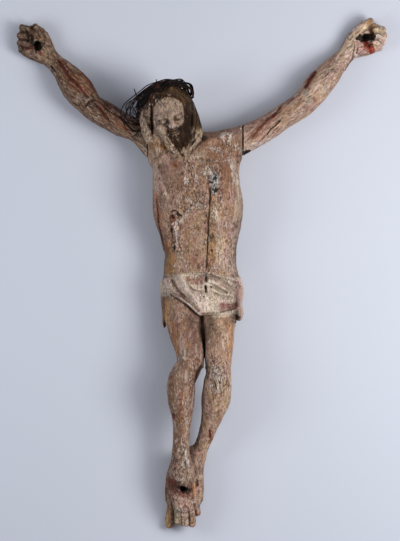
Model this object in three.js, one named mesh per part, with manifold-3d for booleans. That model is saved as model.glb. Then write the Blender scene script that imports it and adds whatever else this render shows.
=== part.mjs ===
// A carved wooden corpus from a crucifix, about half life size, lying on its back.
//
// Body, head, loincloth, legs and feet are one block of wood. Each arm is a second block, butted
// against the shoulder along a flat seam. A crown of bent iron wire sits round the head.
// The carving is written as a distance field: sections along each limb, blended together, with
// ridges and hollows on top. It is meshed once on a grid and then thinned to the triangles asked for.
// Frame: +Y to the head, +X to the figure's left hand, +Z up, out of the chest. Millimetres.

import * as THREE from "three";
import { mergeVertices } from "three/addons/utils/BufferGeometryUtils.js";
import Module from "manifold-3d";

// Driving dimensions
const FIGURE_LENGTH = 1026; // lowest toe to highest thumb
const SHOULDER_GAP = 0.5; // between each arm and its shoulder
const NAIL_HOLE_RADIUS = 5.5;
const CRACK_WIDTH = 2.6; // drying crack down the chest and belly
const CRACK_DEPTH = 16;
const WIRE_DIAMETER = 2.2;
const CROWN_CLEARANCE = 3; // from the hair to the innermost wire
const CROWN_LOOPS = 4;
const CROWN_SPREAD = 8; // how far the loops wander over the hair between the bindings
const CROWN_SLACK = 44; // extra length of the outer loops on the right side of the head
const SLACK_SIDE = 2.85; // the turn, in radians from the figure's left, where that slack shows
const CROWN_THORNS = 9;
const THORN_LENGTH = 9;

// Fineness of the mesh
const CELL = 4;
const SETTLE_ROUNDS = 2;
const BODY_TRIANGLES = 4950;
const ARM_TRIANGLES = 1020;
const WIRE_SIDES = 4;
const WIRE_STEPS = 36; // a multiple of the bindings

// The carving is laid out on a figure of this length and scaled to FIGURE_LENGTH.
const LAYOUT_LENGTH = 1026;
const SCALE = FIGURE_LENGTH / LAYOUT_LENGTH;
const FLESH = 0xa08468;
const FLESH_PALE = 0xa98f74;
const IRON = 0x241d1b;

// Seams, as places along X in the layout
const RIGHT_SEAM_X = -104;
const LEFT_SEAM_X = 84;

// Distance field

const lerp = (a, b, t) => a + (b - a) * t;
const length3 = (x, y, z) => Math.sqrt(x * x + y * y + z * z);
const clamp = (x, low, high) => Math.min(high, Math.max(low, x));
const smoothStep = (low, high, x) => {
  const t = clamp((x - low) / (high - low), 0, 1);
  return t * t * (3 - 2 * t);
};

function smoothMin(a, b, k) {
  const h = Math.max(k - Math.abs(a - b), 0) / k;
  return Math.min(a, b) - h * h * k * 0.25;
}

const smoothMax = (a, b, k) => -smoothMin(-a, -b, k);

// One stretch of a limb between two stations. A station is a centre, a half width across the
// limb in the frontal plane and a half depth; power above 2 squares the section off.
function stretch(p, q, power) {
  const along = [q.x - p.x, q.y - p.y, q.z - p.z];
  const length = Math.hypot(...along) || 1e-6;
  const dir = along.map((v) => v / length);
  const flat = Math.hypot(dir[0], dir[1]) || 1e-6;
  const across = [-dir[1] / flat, dir[0] / flat, 0];
  const deep = [
    dir[1] * across[2] - dir[2] * across[1],
    dir[2] * across[0] - dir[0] * across[2],
    dir[0] * across[1] - dir[1] * across[0],
  ];
  const reach = Math.max(p.wide, q.wide, p.deep, q.deep);
  return {
    centre: [(p.x + q.x) / 2, (p.y + q.y) / 2, (p.z + q.z) / 2],
    radius: length / 2 + reach * 1.25,
    distance(x, y, z) {
      const wx = x - p.x;
      const wy = y - p.y;
      const wz = z - p.z;
      const t = clamp((wx * dir[0] + wy * dir[1] + wz * dir[2]) / length, 0, 1);
      const rx = wx - along[0] * t;
      const ry = wy - along[1] * t;
      const rz = wz - along[2] * t;
      const wide = lerp(p.wide, q.wide, t);
      const depth = lerp(p.deep, q.deep, t);
      const small = Math.min(wide, depth);
      const u = Math.abs(rx * across[0] + ry * across[1]) / wide;
      const v = Math.abs(rx * deep[0] + ry * deep[1] + rz * deep[2]) / depth;
      const s = Math.abs(rx * dir[0] + ry * dir[1] + rz * dir[2]) / small;
      const section = power === 2 ? u * u + v * v : (u ** power + v ** power) ** (2 / power);
      return (Math.sqrt(section + s * s) - 1) * small;
    },
  };
}

// A limb: stations [x, y, z, half width, half depth], joined by smooth curves.
function limb(rows, { power = 2, steps = 3 } = {}) {
  const smooth = (points) => new THREE.CatmullRomCurve3(points, false, "centripetal");
  const centres = smooth(rows.map(([x, y, z]) => new THREE.Vector3(x, y, z)));
  const sizes = smooth(rows.map(([, , , wide, deep]) => new THREE.Vector3(wide, deep, 0)));
  const count = (rows.length - 1) * steps;
  const stations = Array.from({ length: count + 1 }, (_, i) => {
    const c = centres.getPoint(i / count);
    const s = sizes.getPoint(i / count);
    return { x: c.x, y: c.y, z: c.z, wide: s.x, deep: s.y };
  });
  const parts = stations.slice(1).map((q, i) => stretch(stations[i], q, power));
  return bounded(parts, (x, y, z) => {
    let best = Infinity;
    for (const part of parts) {
      const c = part.centre;
      const away = length3(x - c[0], y - c[1], z - c[2]) - part.radius;
      if (away < best) best = Math.min(best, part.distance(x, y, z));
    }
    return best;
  });
}

// A torso-like stack of sections given by their outline: [y, left, right, back, front].
function stack(rows, power) {
  return limb(
    rows.map(([y, left, right, back, front]) => [
      (left + right) / 2,
      y,
      (back + front) / 2,
      (right - left) / 2,
      (front - back) / 2,
    ]),
    { power },
  );
}

function bounded(parts, distance) {
  const box = new THREE.Box3();
  for (const { centre, radius } of parts) {
    const c = new THREE.Vector3(...centre);
    box.expandByPoint(c.clone().addScalar(radius));
    box.expandByPoint(c.clone().addScalar(-radius));
  }
  const sphere = box.getBoundingSphere(new THREE.Sphere());
  return { centre: sphere.center.toArray(), radius: sphere.radius, distance };
}

// A ball, egg or rod: radius may differ at the two ends.
function rod(from, to, r1, r2 = r1) {
  return limb([[...from, r1, r1], [...to, r2, r2]], { steps: 1 });
}

function egg(centre, radii, axes) {
  const small = Math.min(...radii);
  return {
    centre,
    radius: Math.max(...radii),
    distance(x, y, z) {
      const w = [x - centre[0], y - centre[1], z - centre[2]];
      let sum = 0;
      for (let i = 0; i < 3; i += 1) {
        const along = axes ? w[0] * axes[i][0] + w[1] * axes[i][1] + w[2] * axes[i][2] : w[i];
        sum += (along / radii[i]) ** 2;
      }
      return (Math.sqrt(sum) - 1) * small;
    },
  };
}

// Clay that is added to, cut from and pressed with relief, in order.
class Carving {
  steps = [];

  add(form, blend = 6) {
    this.steps.push({ form, blend, cut: false });
    return this;
  }

  cut(form, blend = 4) {
    this.steps.push({ form, blend, cut: true });
    return this;
  }

  relief(height) {
    this.steps.push({ height });
    return this;
  }

  distance(x, y, z) {
    let d = 1e3;
    for (const { form, blend, cut, height } of this.steps) {
      if (height) {
        if (Math.abs(d) < 30) d -= height(x, y, z);
        continue;
      }
      const c = form.centre;
      const away = length3(x - c[0], y - c[1], z - c[2]) - form.radius;
      if (!cut && away < d + blend) d = smoothMin(d, form.distance(x, y, z), blend);
      if (cut && away < -d + blend) d = smoothMax(d, -form.distance(x, y, z), blend);
    }
    return d;
  }
}

// Relief on the front: a ridge, or with a negative height a groove, along a line seen from above.
function ridge(points, width, height) {
  const lowX = Math.min(...points.map((p) => p[0])) - 3 * width;
  const highX = Math.max(...points.map((p) => p[0])) + 3 * width;
  const lowY = Math.min(...points.map((p) => p[1])) - 3 * width;
  const highY = Math.max(...points.map((p) => p[1])) + 3 * width;
  return (x, y) => {
    if (x < lowX || x > highX || y < lowY || y > highY) return 0;
    let best = Infinity;
    for (let i = 1; i < points.length; i += 1) {
      const [ax, ay] = points[i - 1];
      const [bx, by] = points[i];
      const dx = bx - ax;
      const dy = by - ay;
      const t = clamp(((x - ax) * dx + (y - ay) * dy) / (dx * dx + dy * dy), 0, 1);
      best = Math.min(best, (x - ax - dx * t) ** 2 + (y - ay - dy * t) ** 2);
    }
    return height * Math.exp(-best / width ** 2);
  };
}

function mound(x0, y0, wide, tall, height) {
  return (x, y) => height * Math.exp(-(((x - x0) / wide) ** 2) - ((y - y0) / tall) ** 2);
}

const onFront = (marks, low, high) => (x, y, z) => {
  const share = smoothStep(low, high, z);
  return share && share * marks.reduce((sum, mark) => sum + mark(x, y), 0);
};

const onBack = (marks, low, high) => (x, y, z) => {
  const share = 1 - smoothStep(low, high, z);
  return share && share * marks.reduce((sum, mark) => sum + mark(x, y), 0);
};

// The head's own frame

// The head has fallen towards the figure's right shoulder and nods forward.
const HEAD_CENTRE = new THREE.Vector3(-64, 838, 104);
const HEAD_LEAN = THREE.MathUtils.degToRad(18);
const HEAD_NOD = THREE.MathUtils.degToRad(25);
const headUp = new THREE.Vector3(
  -Math.sin(HEAD_LEAN) * Math.cos(HEAD_NOD),
  Math.cos(HEAD_LEAN) * Math.cos(HEAD_NOD),
  Math.sin(HEAD_NOD),
);
const headSide = new THREE.Vector3(Math.cos(HEAD_LEAN), Math.sin(HEAD_LEAN), 0);
const headFront = new THREE.Vector3().crossVectors(headSide, headUp);
const headAxes = [headSide.toArray(), headUp.toArray(), headFront.toArray()];
const HAIR_RADII = [46, 58, 53];

const onHead = (side, up, front) =>
  HEAD_CENTRE.clone()
    .addScaledVector(headSide, side)
    .addScaledVector(headUp, up)
    .addScaledVector(headFront, front)
    .toArray();

// Hair falling straight down from the temples onto the shoulders
const RIGHT_LOCK = [
  [-98, 868, 116, 9, 13],
  [-108, 842, 116, 12, 16],
  [-108, 810, 107, 11.5, 15],
  [-104, 788, 94, 10.5, 12],
  [-99, 776, 80, 8.5, 8],
];
const LEFT_LOCK = [
  [-32, 872, 114, 8, 13],
  [-22, 848, 110, 11, 17],
  [-11, 816, 101, 12, 17],
  [-6, 788, 95, 11, 14],
  [-15, 764, 92, 8, 9],
];

// Wood left standing between each lock and the beard
const RIGHT_WEB = [
  [-88, 828, 98, 16, 16],
  [-83, 800, 94, 19, 14],
  [-73, 770, 88, 19, 12],
];
const LEFT_WEB = [
  [-22, 816, 98, 9, 12],
  [-20, 792, 96, 9, 12],
  [-26, 766, 92, 8, 10],
];

function addHead(clay) {
  const headEgg = (place, radii) => egg(onHead(...place), radii, headAxes);
  clay.add(limb([[-22, 752, 54, 34, 32], [-38, 784, 74, 27, 26], [...onHead(0, -26, -10), 28, 28]]), 12);
  clay.add(headEgg([0, 2, -4], HAIR_RADII), 8);
  clay.add(headEgg([0, -16, 15], [36, 46, 38]), 6);
  clay.add(limb(RIGHT_LOCK), 5).add(limb(LEFT_LOCK), 5);
  clay.add(limb(RIGHT_WEB), 6).add(limb(LEFT_WEB), 6);
  for (const s of [-1, 1]) {
    clay.add(limb([[...onHead(s * 15, 50, 16), 11, 11], [...onHead(s * 36, 20, 19), 11, 13]]), 6);
    clay.cut(headEgg([s * 15.5, 0, 57], [11, 7, 9]), 7);
    clay.add(headEgg([s * 15.5, -0.5, 43], [9.5, 7, 8]), 2);
    clay.add(headEgg([s * 20, -17, 37], [13, 12, 12]), 8);
    clay.add(rod(onHead(s * 1, -21, 54), onHead(s * 19, -36, 42), 5, 4), 3);
    clay.add(rod(onHead(0, 9, 49), onHead(s * 24, 8, 41), 4.5, 3.5), 5);
  }
  clay.add(rod(onHead(0, 9, 49), onHead(0, -11, 58), 4, 6), 4);
  clay.add(rod(onHead(-8, -27, 50), onHead(8, -27, 50), 3.6), 2);
  clay.add(headEgg([0, -50, 33], [27, 26, 22]), 6);
  for (const s of [-1, 1]) {
    clay.add(rod(onHead(s * 9, -58, 38), onHead(s * 6, -84, 33), 15, 7), 5);
  }
}

// Body, loincloth and legs

function addTrunk(clay) {
  const trunk = [
    [764, -72, 50, 16, 84],
    [750, -86, 66, 6, 94],
    [732, -93, 78, -1, 105],
    [710, -94, 77, -4, 113],
    [680, -95, 80, -4, 115],
    [650, -95, 86, -2, 113],
    [632, -92, 86, 1, 107],
    [616, -87, 84, 4, 100],
    [600, -82, 80, 7, 95],
    [580, -77, 76, 10, 90],
    [552, -70, 73, 11, 86],
    [528, -72, 73, 7, 88],
    [504, -74, 77, 0, 91],
    [480, -76, 80, -4, 92],
    [452, -75, 78, -4, 89],
    [430, -70, 74, 2, 83],
  ];
  clay.add(stack(trunk, 2.5));
  const leftShoulder = [
    [16, 744, 56, 40, 40],
    [56, 768, 56, 34, 36],
    [LEFT_SEAM_X, 780, 54, 28.6, 29],
    [102, 788, 53, 27.2, 27],
  ];
  const rightShoulder = [
    [-36, 740, 56, 40, 40],
    [-78, 756, 54, 30, 32],
    [RIGHT_SEAM_X, 778, 52, 23.5, 26],
    [-124, 796, 51, 21.5, 25],
  ];
  clay.add(limb(leftShoulder), 16).add(limb(rightShoulder), 16);
}

function addLegs(clay) {
  const rightLeg = [
    [-38, 468, 46, 35, 44],
    [-36.5, 424, 52, 32.5, 39],
    [-33.8, 406, 58, 31.4, 37],
    [-28, 386, 65, 30.8, 35],
    [-22.6, 368, 73, 29.2, 33.5],
    [-19.5, 352, 80, 27.8, 32],
    [-22, 328, 89, 25.2, 29],
    [-30, 314, 89, 26.6, 29],
    [-36.8, 299, 87, 27.6, 29],
    [-37.8, 280, 83, 28.2, 28],
    [-37.4, 260, 79, 26.8, 27],
    [-36, 232, 74, 21.2, 22],
    [-36.4, 206, 70, 17.8, 18.5],
    [-37.8, 177, 66, 16.2, 16.5],
    [-38.6, 154, 63, 16.4, 17],
  ];
  const leftLeg = [
    [40, 468, 46, 36, 44],
    [38.6, 422, 52, 33, 39],
    [38.8, 398, 59, 30.2, 36],
    [37.8, 368, 69, 28.6, 33],
    [36.4, 336, 82, 26.2, 30],
    [37, 316, 87, 25, 28.5],
    [34.6, 290, 84, 28.4, 28.5],
    [32, 264, 76, 29, 29],
    [26, 236, 65, 23, 23],
    [18, 208, 53, 18, 18],
    [10.6, 185, 44, 15.6, 16],
    [-1.6, 156, 35, 15.6, 16],
    [-10, 138, 30, 19, 20],
  ];
  clay.add(limb(rightLeg), 7).add(limb(leftLeg), 10);
}

// The left foot lies on the cross with its sole down; the right foot lies over it.
function addFeet(clay) {
  const leftFoot = [
    [-10, 148, 31, 21, 20],
    [-26, 127, 26, 34, 26],
    [-30, 104, 21, 37.5, 23],
    [-31, 80, 18, 39, 20],
    [-32, 60, 16, 38, 17],
    [-31, 46, 14, 31, 13],
  ];
  clay.add(limb(leftFoot, { power: 2.4 }), 6);
  const leftToes = [
    [-55, 52, -61, 11, 10.5],
    [-44, 46, -45, 16, 7],
    [-32, 46, -32, 16, 7],
    [-19, 48, -18, 22, 6.6],
    [-8, 54, -5, 32, 6.6],
  ];
  for (const [x, y, tipX, tipY, r] of leftToes) {
    clay.add(rod([x, y, 14], [tipX, tipY, 11], r * 0.92, r), 2.5);
  }
  const rightFoot = [
    [-38.6, 160, 64, 16.5, 18],
    [-38, 140, 61, 20, 22],
    [-36.5, 118, 57, 25, 25],
    [-33, 92, 54, 27, 20],
    [-31, 66, 50, 27, 15],
    [-30, 46, 46, 24, 12],
  ];
  clay.add(limb(rightFoot), 4);
  const rightToes = [
    [-18, 40, -16, 12, 8.2],
    [-29, 38, -27.5, 11, 6],
    [-38, 40, -37.5, 11, 5.8],
    [-46, 44, -46, 16, 5.4],
  ];
  for (const [x, y, tipX, tipY, r] of rightToes) {
    clay.add(rod([x, y, 44], [tipX, tipY, 33], r, r), 2.5);
  }
}

// Heights of the cloth's upper and lower edges along the front. The right thigh is bared.
const CLOTH_TOP = [[-90, 494], [-70, 502], [-38, 511], [13, 512], [47, 505], [77, 504], [92, 494]];
const CLOTH_HEM = [[-90, 470], [-66, 474], [-50, 468], [-24, 452], [-3, 431], [68, 435], [92, 424]];

function heightAt(line, x) {
  const i = clamp(line.findIndex((p) => p[0] > x), 1, line.length - 1);
  const t = clamp((x - line[i - 1][0]) / (line[i][0] - line[i - 1][0]), 0, 1);
  return lerp(line[i - 1][1], line[i][1], t);
}

function addCloth(clay) {
  const wrap = stack(
    [
      [524, -76, 77, 0, 93],
      [500, -78, 80, -5, 97],
      [478, -79, 84, -7, 98],
      [452, -78, 83, -7, 97],
      [430, -76, 82, -5, 95],
      [408, -74, 82, -4, 93],
    ],
    2.3,
  );
  const edged = (x, y, z) => {
    const d = wrap.distance(x, y, z);
    const above = y - heightAt(CLOTH_TOP, x);
    const below = heightAt(CLOTH_HEM, x) - y;
    return smoothMax(smoothMax(d, above, 4), below, 4);
  };
  clay.add({ ...wrap, distance: edged }, 3);
  const tail = [
    [-72, 492, 46, 7, 22],
    [-73, 462, 36, 5.5, 20],
    [-72, 434, 32, 4.5, 16],
    [-72, 408, 30, 4, 9],
  ];
  const upperBundle = [
    [74, 500, 52, 8, 22],
    [79, 480, 50, 8.5, 28],
    [78, 456, 48, 6, 26],
  ];
  const lowerBundle = [
    [76, 450, 50, 8, 26],
    [79, 434, 50, 8.5, 26],
    [78, 424, 50, 6, 20],
  ];
  clay.add(limb(tail), 3).add(limb(upperBundle), 4).add(limb(lowerBundle), 3);
}

// The cloth is rolled across from both hips to the middle, and its lower edge is rolled too.
const clothFolds = [
  ridge([[-41, 503], [-33, 474], [-14, 456], [-1, 436]], 7, 5),
  ridge([[-66, 500], [-56, 482], [-46, 469], [-33, 458], [-14, 445], [-2, 432]], 5.5, 3.5),
  ridge([[-50, 494], [-43, 474], [-25, 458], [-7, 441]], 4.5, -3),
  ridge([[-30, 498], [-17, 489], [-6, 485], [12, 479]], 6, 3.5),
  ridge([[-28, 484], [-14, 478], [2, 474]], 5, -2.5),
  ridge([[16, 508], [34, 499], [48, 489], [64, 478]], 6.5, 4),
  ridge([[20, 492], [40, 481], [62, 474]], 5, -3),
  ridge([[26, 482], [39, 471], [57, 465], [76, 462]], 6.5, 4),
  ridge([[40, 440], [60, 442], [74, 449]], 6, 2.5),
  ridge([[12, 470], [5, 455], [2, 438]], 6, 2.5),
  ridge([[-4, 436], [26, 437], [70, 440]], 6, 2),
];

const trunkRelief = [
  mound(42, 716, 30, 24, 4.5),
  mound(-46, 712, 30, 24, 4.5),
  ridge([[-2, 752], [-4, 700], [-4, 656]], 8, -3.5),
  ridge([[-44, 556], [-40, 596], [-32, 620], [-16, 638], [-2, 645]], 7, 3),
  ridge([[-2, 645], [14, 640], [30, 620], [40, 592], [44, 556]], 7, 3),
  mound(0, 598, 27, 40, -3.5),
  mound(2, 536, 34, 18, 3),
  ridge([[-12, 770], [26, 782], [64, 792]], 6, 3),
  ridge([[-88, 726], [-80, 680], [-66, 640]], 5, 2),
  ridge([[78, 730], [74, 690]], 5, 2),
];

const legRelief = [
  mound(-22, 336, 14, 13, 5),
  mound(38, 324, 14, 13, 5),
  ridge([[-30, 304], [-36, 250], [-37, 180]], 6, 2.5),
  ridge([[34, 300], [26, 240], [8, 184]], 6, 2.5),
  ridge([[-44, 420], [-32, 372]], 9, 2),
  ridge([[36, 420], [36, 360]], 9, 2),
  ridge([[-22, 316], [-26, 306]], 6, -2),
];

// The hollow between the thighs runs from the cloth's hem down to the knees.
const thighGap = [
  [3, 436, 96, 5, 26],
  [2, 414, 98, 5.5, 26],
  [-1, 392, 104, 4.4, 22],
  [-1, 372, 110, 2.6, 18],
];

const backRelief = [
  ridge([[-8, 760], [-6, 660], [-2, 560], [2, 510]], 9, -6),
  mound(2, 556, 60, 34, -3),
];

function carveBody() {
  const clay = new Carving();
  addTrunk(clay);
  clay.relief(onFront(trunkRelief, 40, 80));
  clay.relief(onBack(backRelief, 10, 30));
  addLegs(clay);
  clay.relief(onFront(legRelief, 60, 85));
  clay.cut(limb(thighGap), 4);
  addFeet(clay);
  addCloth(clay);
  clay.relief(onFront(clothFolds, 40, 85));
  addHead(clay);
  return clay;
}

// Arms and hands

function curledFinger(clay, knuckle, bend, tip, r) {
  clay.add(limb([[...knuckle, r, r], [...bend, r, r], [...tip, r * 0.9, r * 0.9]], { steps: 3 }), 2.5);
}

function carveRightArm() {
  const clay = new Carving();
  clay.add(
    limb([
      [-90, 765, 53, 26.5, 28],
      [RIGHT_SEAM_X, 778, 52, 23.5, 26],
      [-120, 792, 51, 21.6, 25],
      [-133, 801.5, 50, 22.4, 25],
      [-157, 811, 48, 24.4, 25],
      [-176, 823, 46, 25.4, 25],
      [-197, 835, 44, 26, 25],
      [-216, 847, 43, 24.8, 24],
      [-230.8, 864, 42, 28, 25],
      [-244, 881, 40, 30.6, 26],
      [-257.4, 898.6, 36, 28.6, 24],
      [-272, 917, 31, 22.4, 20],
      [-288, 933, 26, 18.4, 15],
      [-298.8, 944.2, 22, 16.2, 14],
    ]),
    6,
  );
  clay.add(
    limb(
      [
        [-296, 941, 22, 15, 13],
        [-312, 955, 18, 23, 16],
        [-326, 967, 15, 29, 17],
        [-340, 977, 14, 30, 16],
        [-348, 982, 14, 26, 14],
      ],
      { power: 2.4 },
    ),
    5,
  );
  clay.add(limb([[-304, 966, 22, 10, 11], [-312, 991, 26, 8.5, 9], [-330, 1008, 30, 6.4, 6.6]]), 5);
  curledFinger(clay, [-336, 1000, 16], [-357, 1007, 24], [-346, 1003, 38], 6.6);
  curledFinger(clay, [-342, 988, 14], [-361, 990, 24], [-344, 987, 38], 7);
  curledFinger(clay, [-344, 974, 14], [-361, 975, 23], [-344, 973, 37], 7);
  curledFinger(clay, [-340, 960, 14], [-358, 961, 22], [-343, 960, 34], 6.4);
  clay.relief(
    onFront(
      [
        ridge([[-206, 836], [-222, 850], [-214, 866]], 5, -3),
        ridge([[-140, 800], [-176, 822]], 9, 3),
        ridge([[-226, 874], [-262, 906]], 8, 3),
        ridge([[-238, 868], [-270, 902]], 3.5, -2),
        mound(-329, 972, 11, 11, -4),
      ],
      34,
      58,
    ),
  );
  return clay;
}

function carveLeftArm() {
  const clay = new Carving();
  clay.add(
    limb([
      [66, 772, 55, 31, 32],
      [LEFT_SEAM_X, 780, 54, 28.6, 29],
      [102, 788, 53, 27, 27],
      [123.6, 799, 51, 26, 26],
      [144, 811, 49, 25.2, 25],
      [163.2, 825, 47, 24.2, 25],
      [184.6, 837.4, 45, 24.6, 25],
      [204.6, 851.6, 43, 25.4, 25],
      [220.6, 868.4, 42, 26.4, 25],
      [234.6, 887, 40, 28, 26],
      [250, 904, 36, 26.2, 24],
      [265, 921.4, 31, 23, 20],
      [282, 939.4, 26, 18.6, 15],
      [295, 955, 22, 16, 14],
    ]),
    6,
  );
  clay.add(
    limb(
      [
        [292, 951, 22, 15, 13],
        [308, 968, 18, 24, 16],
        [324, 978, 15, 30, 17],
        [340, 983, 14, 30, 16],
        [350, 985, 14, 25, 14],
      ],
      { power: 2.4 },
    ),
    5,
  );
  clay.add(limb([[308, 986, 22, 11, 11], [324, 1007, 27, 9, 9.4], [342, 1019, 30, 6.8, 7]]), 5);
  curledFinger(clay, [346, 1002, 16], [367, 1003, 24], [351, 1001, 38], 6.6);
  curledFinger(clay, [350, 990, 14], [369, 990, 24], [352, 989, 38], 7);
  curledFinger(clay, [350, 977, 14], [366, 977, 23], [350, 977, 37], 6.8);
  curledFinger(clay, [344, 965, 14], [360, 965, 22], [345, 966, 34], 6.2);
  clay.relief(
    onFront(
      [
        ridge([[196, 858], [210, 852], [222, 842]], 5, -3),
        ridge([[120, 800], [170, 828]], 9, 3),
        ridge([[222, 878], [258, 916]], 8, 3),
        ridge([[236, 874], [268, 908]], 3.5, -2),
        mound(330, 986, 11, 11, -4),
      ],
      34,
      58,
    ),
  );
  return clay;
}

// Meshing

const CUBE = [[0, 0, 0], [1, 0, 0], [1, 1, 0], [0, 1, 0], [0, 0, 1], [1, 0, 1], [1, 1, 1], [0, 1, 1]];
const TETRAHEDRA = [[0, 5, 1, 6], [0, 1, 2, 6], [0, 2, 3, 6], [0, 3, 7, 6], [0, 7, 4, 6], [0, 4, 5, 6]];

// The field is read first at the middle of blocks of this many cells.
const BLOCK = 4;
const RELIEF_REACH = 10;

// The surface where the field is zero, by marching through tetrahedra: always one closed skin.
function skin(field, box, cell) {
  const counts = box.getSize(new THREE.Vector3()).divideScalar(cell).ceil().toArray().map((n) => n + 1);
  const [nx, ny, nz] = counts;
  const values = new Float32Array(nx * ny * nz).fill(cell);
  const at = (i, j, k) => i + nx * (j + ny * k);
  const place = (i, j, k) => [box.min.x + i * cell, box.min.y + j * cell, box.min.z + k * cell];
  const reach = (BLOCK * cell * Math.sqrt(3)) / 2 + RELIEF_REACH;
  for (let k0 = 1; k0 < nz - 1; k0 += BLOCK) {
    for (let j0 = 1; j0 < ny - 1; j0 += BLOCK) {
      for (let i0 = 1; i0 < nx - 1; i0 += BLOCK) {
        const half = BLOCK / 2;
        const rough = field(...place(i0 + half, j0 + half, k0 + half));
        for (let k = k0; k < Math.min(k0 + BLOCK, nz - 1); k += 1) {
          for (let j = j0; j < Math.min(j0 + BLOCK, ny - 1); j += 1) {
            for (let i = i0; i < Math.min(i0 + BLOCK, nx - 1); i += 1) {
              const d = Math.abs(rough) > reach ? rough : field(...place(i, j, k));
              values[at(i, j, k)] = Math.abs(d) < 1e-3 ? 1e-3 : d;
            }
          }
        }
      }
    }
  }
  const points = [];
  const faces = [];
  const known = new Map();
  const crossing = (a, b) => {
    const [low, high] = a.id < b.id ? [a, b] : [b, a];
    const key = low.id * values.length + high.id;
    if (!known.has(key)) {
      const t = clamp(low.v / (low.v - high.v), 0.04, 0.96);
      known.set(key, points.length / 3);
      for (let n = 0; n < 3; n += 1) {
        points.push(box.min.getComponent(n) + lerp(low.place[n], high.place[n], t) * cell);
      }
    }
    return known.get(key);
  };
  for (let k = 0; k < nz - 1; k += 1) {
    for (let j = 0; j < ny - 1; j += 1) {
      for (let i = 0; i < nx - 1; i += 1) {
        const corners = CUBE.map(([a, b, c]) => {
          const id = at(i + a, j + b, k + c);
          return { id, v: values[id], place: [i + a, j + b, k + c] };
        });
        const inside = corners.filter((c) => c.v < 0).length;
        if (inside === 0 || inside === 8) continue;
        for (const tetra of TETRAHEDRA) marchTetrahedron(tetra.map((n) => corners[n]), crossing, faces);
      }
    }
  }
  return { points, faces };
}

function marchTetrahedron(corners, crossing, faces) {
  const inside = corners.filter((c) => c.v < 0);
  const outside = corners.filter((c) => c.v >= 0);
  if (!inside.length || !outside.length) return;
  const polygon =
    inside.length === 1
      ? outside.map((o) => crossing(inside[0], o))
      : inside.length === 3
        ? inside.map((p) => crossing(p, outside[0]))
        : [
            crossing(inside[0], outside[0]),
            crossing(inside[0], outside[1]),
            crossing(inside[1], outside[1]),
            crossing(inside[1], outside[0]),
          ];
  const mean = (list, n) => list.reduce((sum, c) => sum + c.place[n], 0) / list.length;
  const out = [0, 1, 2].map((n) => mean(outside, n) - mean(inside, n));
  faces.push({ polygon, out });
}

// Splits the polygons into triangles that face out of the solid.
function trianglesOf({ points, faces }) {
  const triangles = [];
  const p = (i) => new THREE.Vector3(points[3 * i], points[3 * i + 1], points[3 * i + 2]);
  for (const { polygon, out } of faces) {
    const [a, b, c, d] = polygon;
    const normal = p(b).sub(p(a)).cross(p(c).sub(p(a)));
    if (d !== undefined) normal.add(p(c).sub(p(a)).cross(p(d).sub(p(a))));
    const turned = normal.dot(new THREE.Vector3(...out)) < 0;
    const add = (i, j, k) => triangles.push(turned ? [i, k, j] : [i, j, k]);
    add(a, b, c);
    if (d !== undefined) add(a, c, d);
  }
  return triangles;
}

// Evens out the grid's steps: each vertex goes to the middle of its neighbours and back to the surface.
function settle(points, triangles, field) {
  const around = Array.from({ length: points.length / 3 }, () => new Set());
  for (const [a, b, c] of triangles) {
    around[a].add(b).add(c);
    around[b].add(a).add(c);
    around[c].add(a).add(b);
  }
  for (let round = 0; round < SETTLE_ROUNDS; round += 1) {
    const before = points.slice();
    around.forEach((near, v) => {
      const place = [0, 0, 0];
      for (const w of near) for (let n = 0; n < 3; n += 1) place[n] += before[3 * w + n] / near.size;
      const d = field(...place);
      const step = 0.5;
      const slope = [0, 1, 2].map((n) => {
        const ahead = place.slice();
        ahead[n] += step;
        return (field(...ahead) - d) / step;
      });
      const steep = slope.reduce((sum, g) => sum + g * g, 0);
      if (steep < 0.05) return;
      const back = clamp(d / steep, -CELL / 2, CELL / 2);
      place.forEach((value, n) => (points[3 * v + n] = value - slope[n] * back));
    });
  }
}

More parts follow.
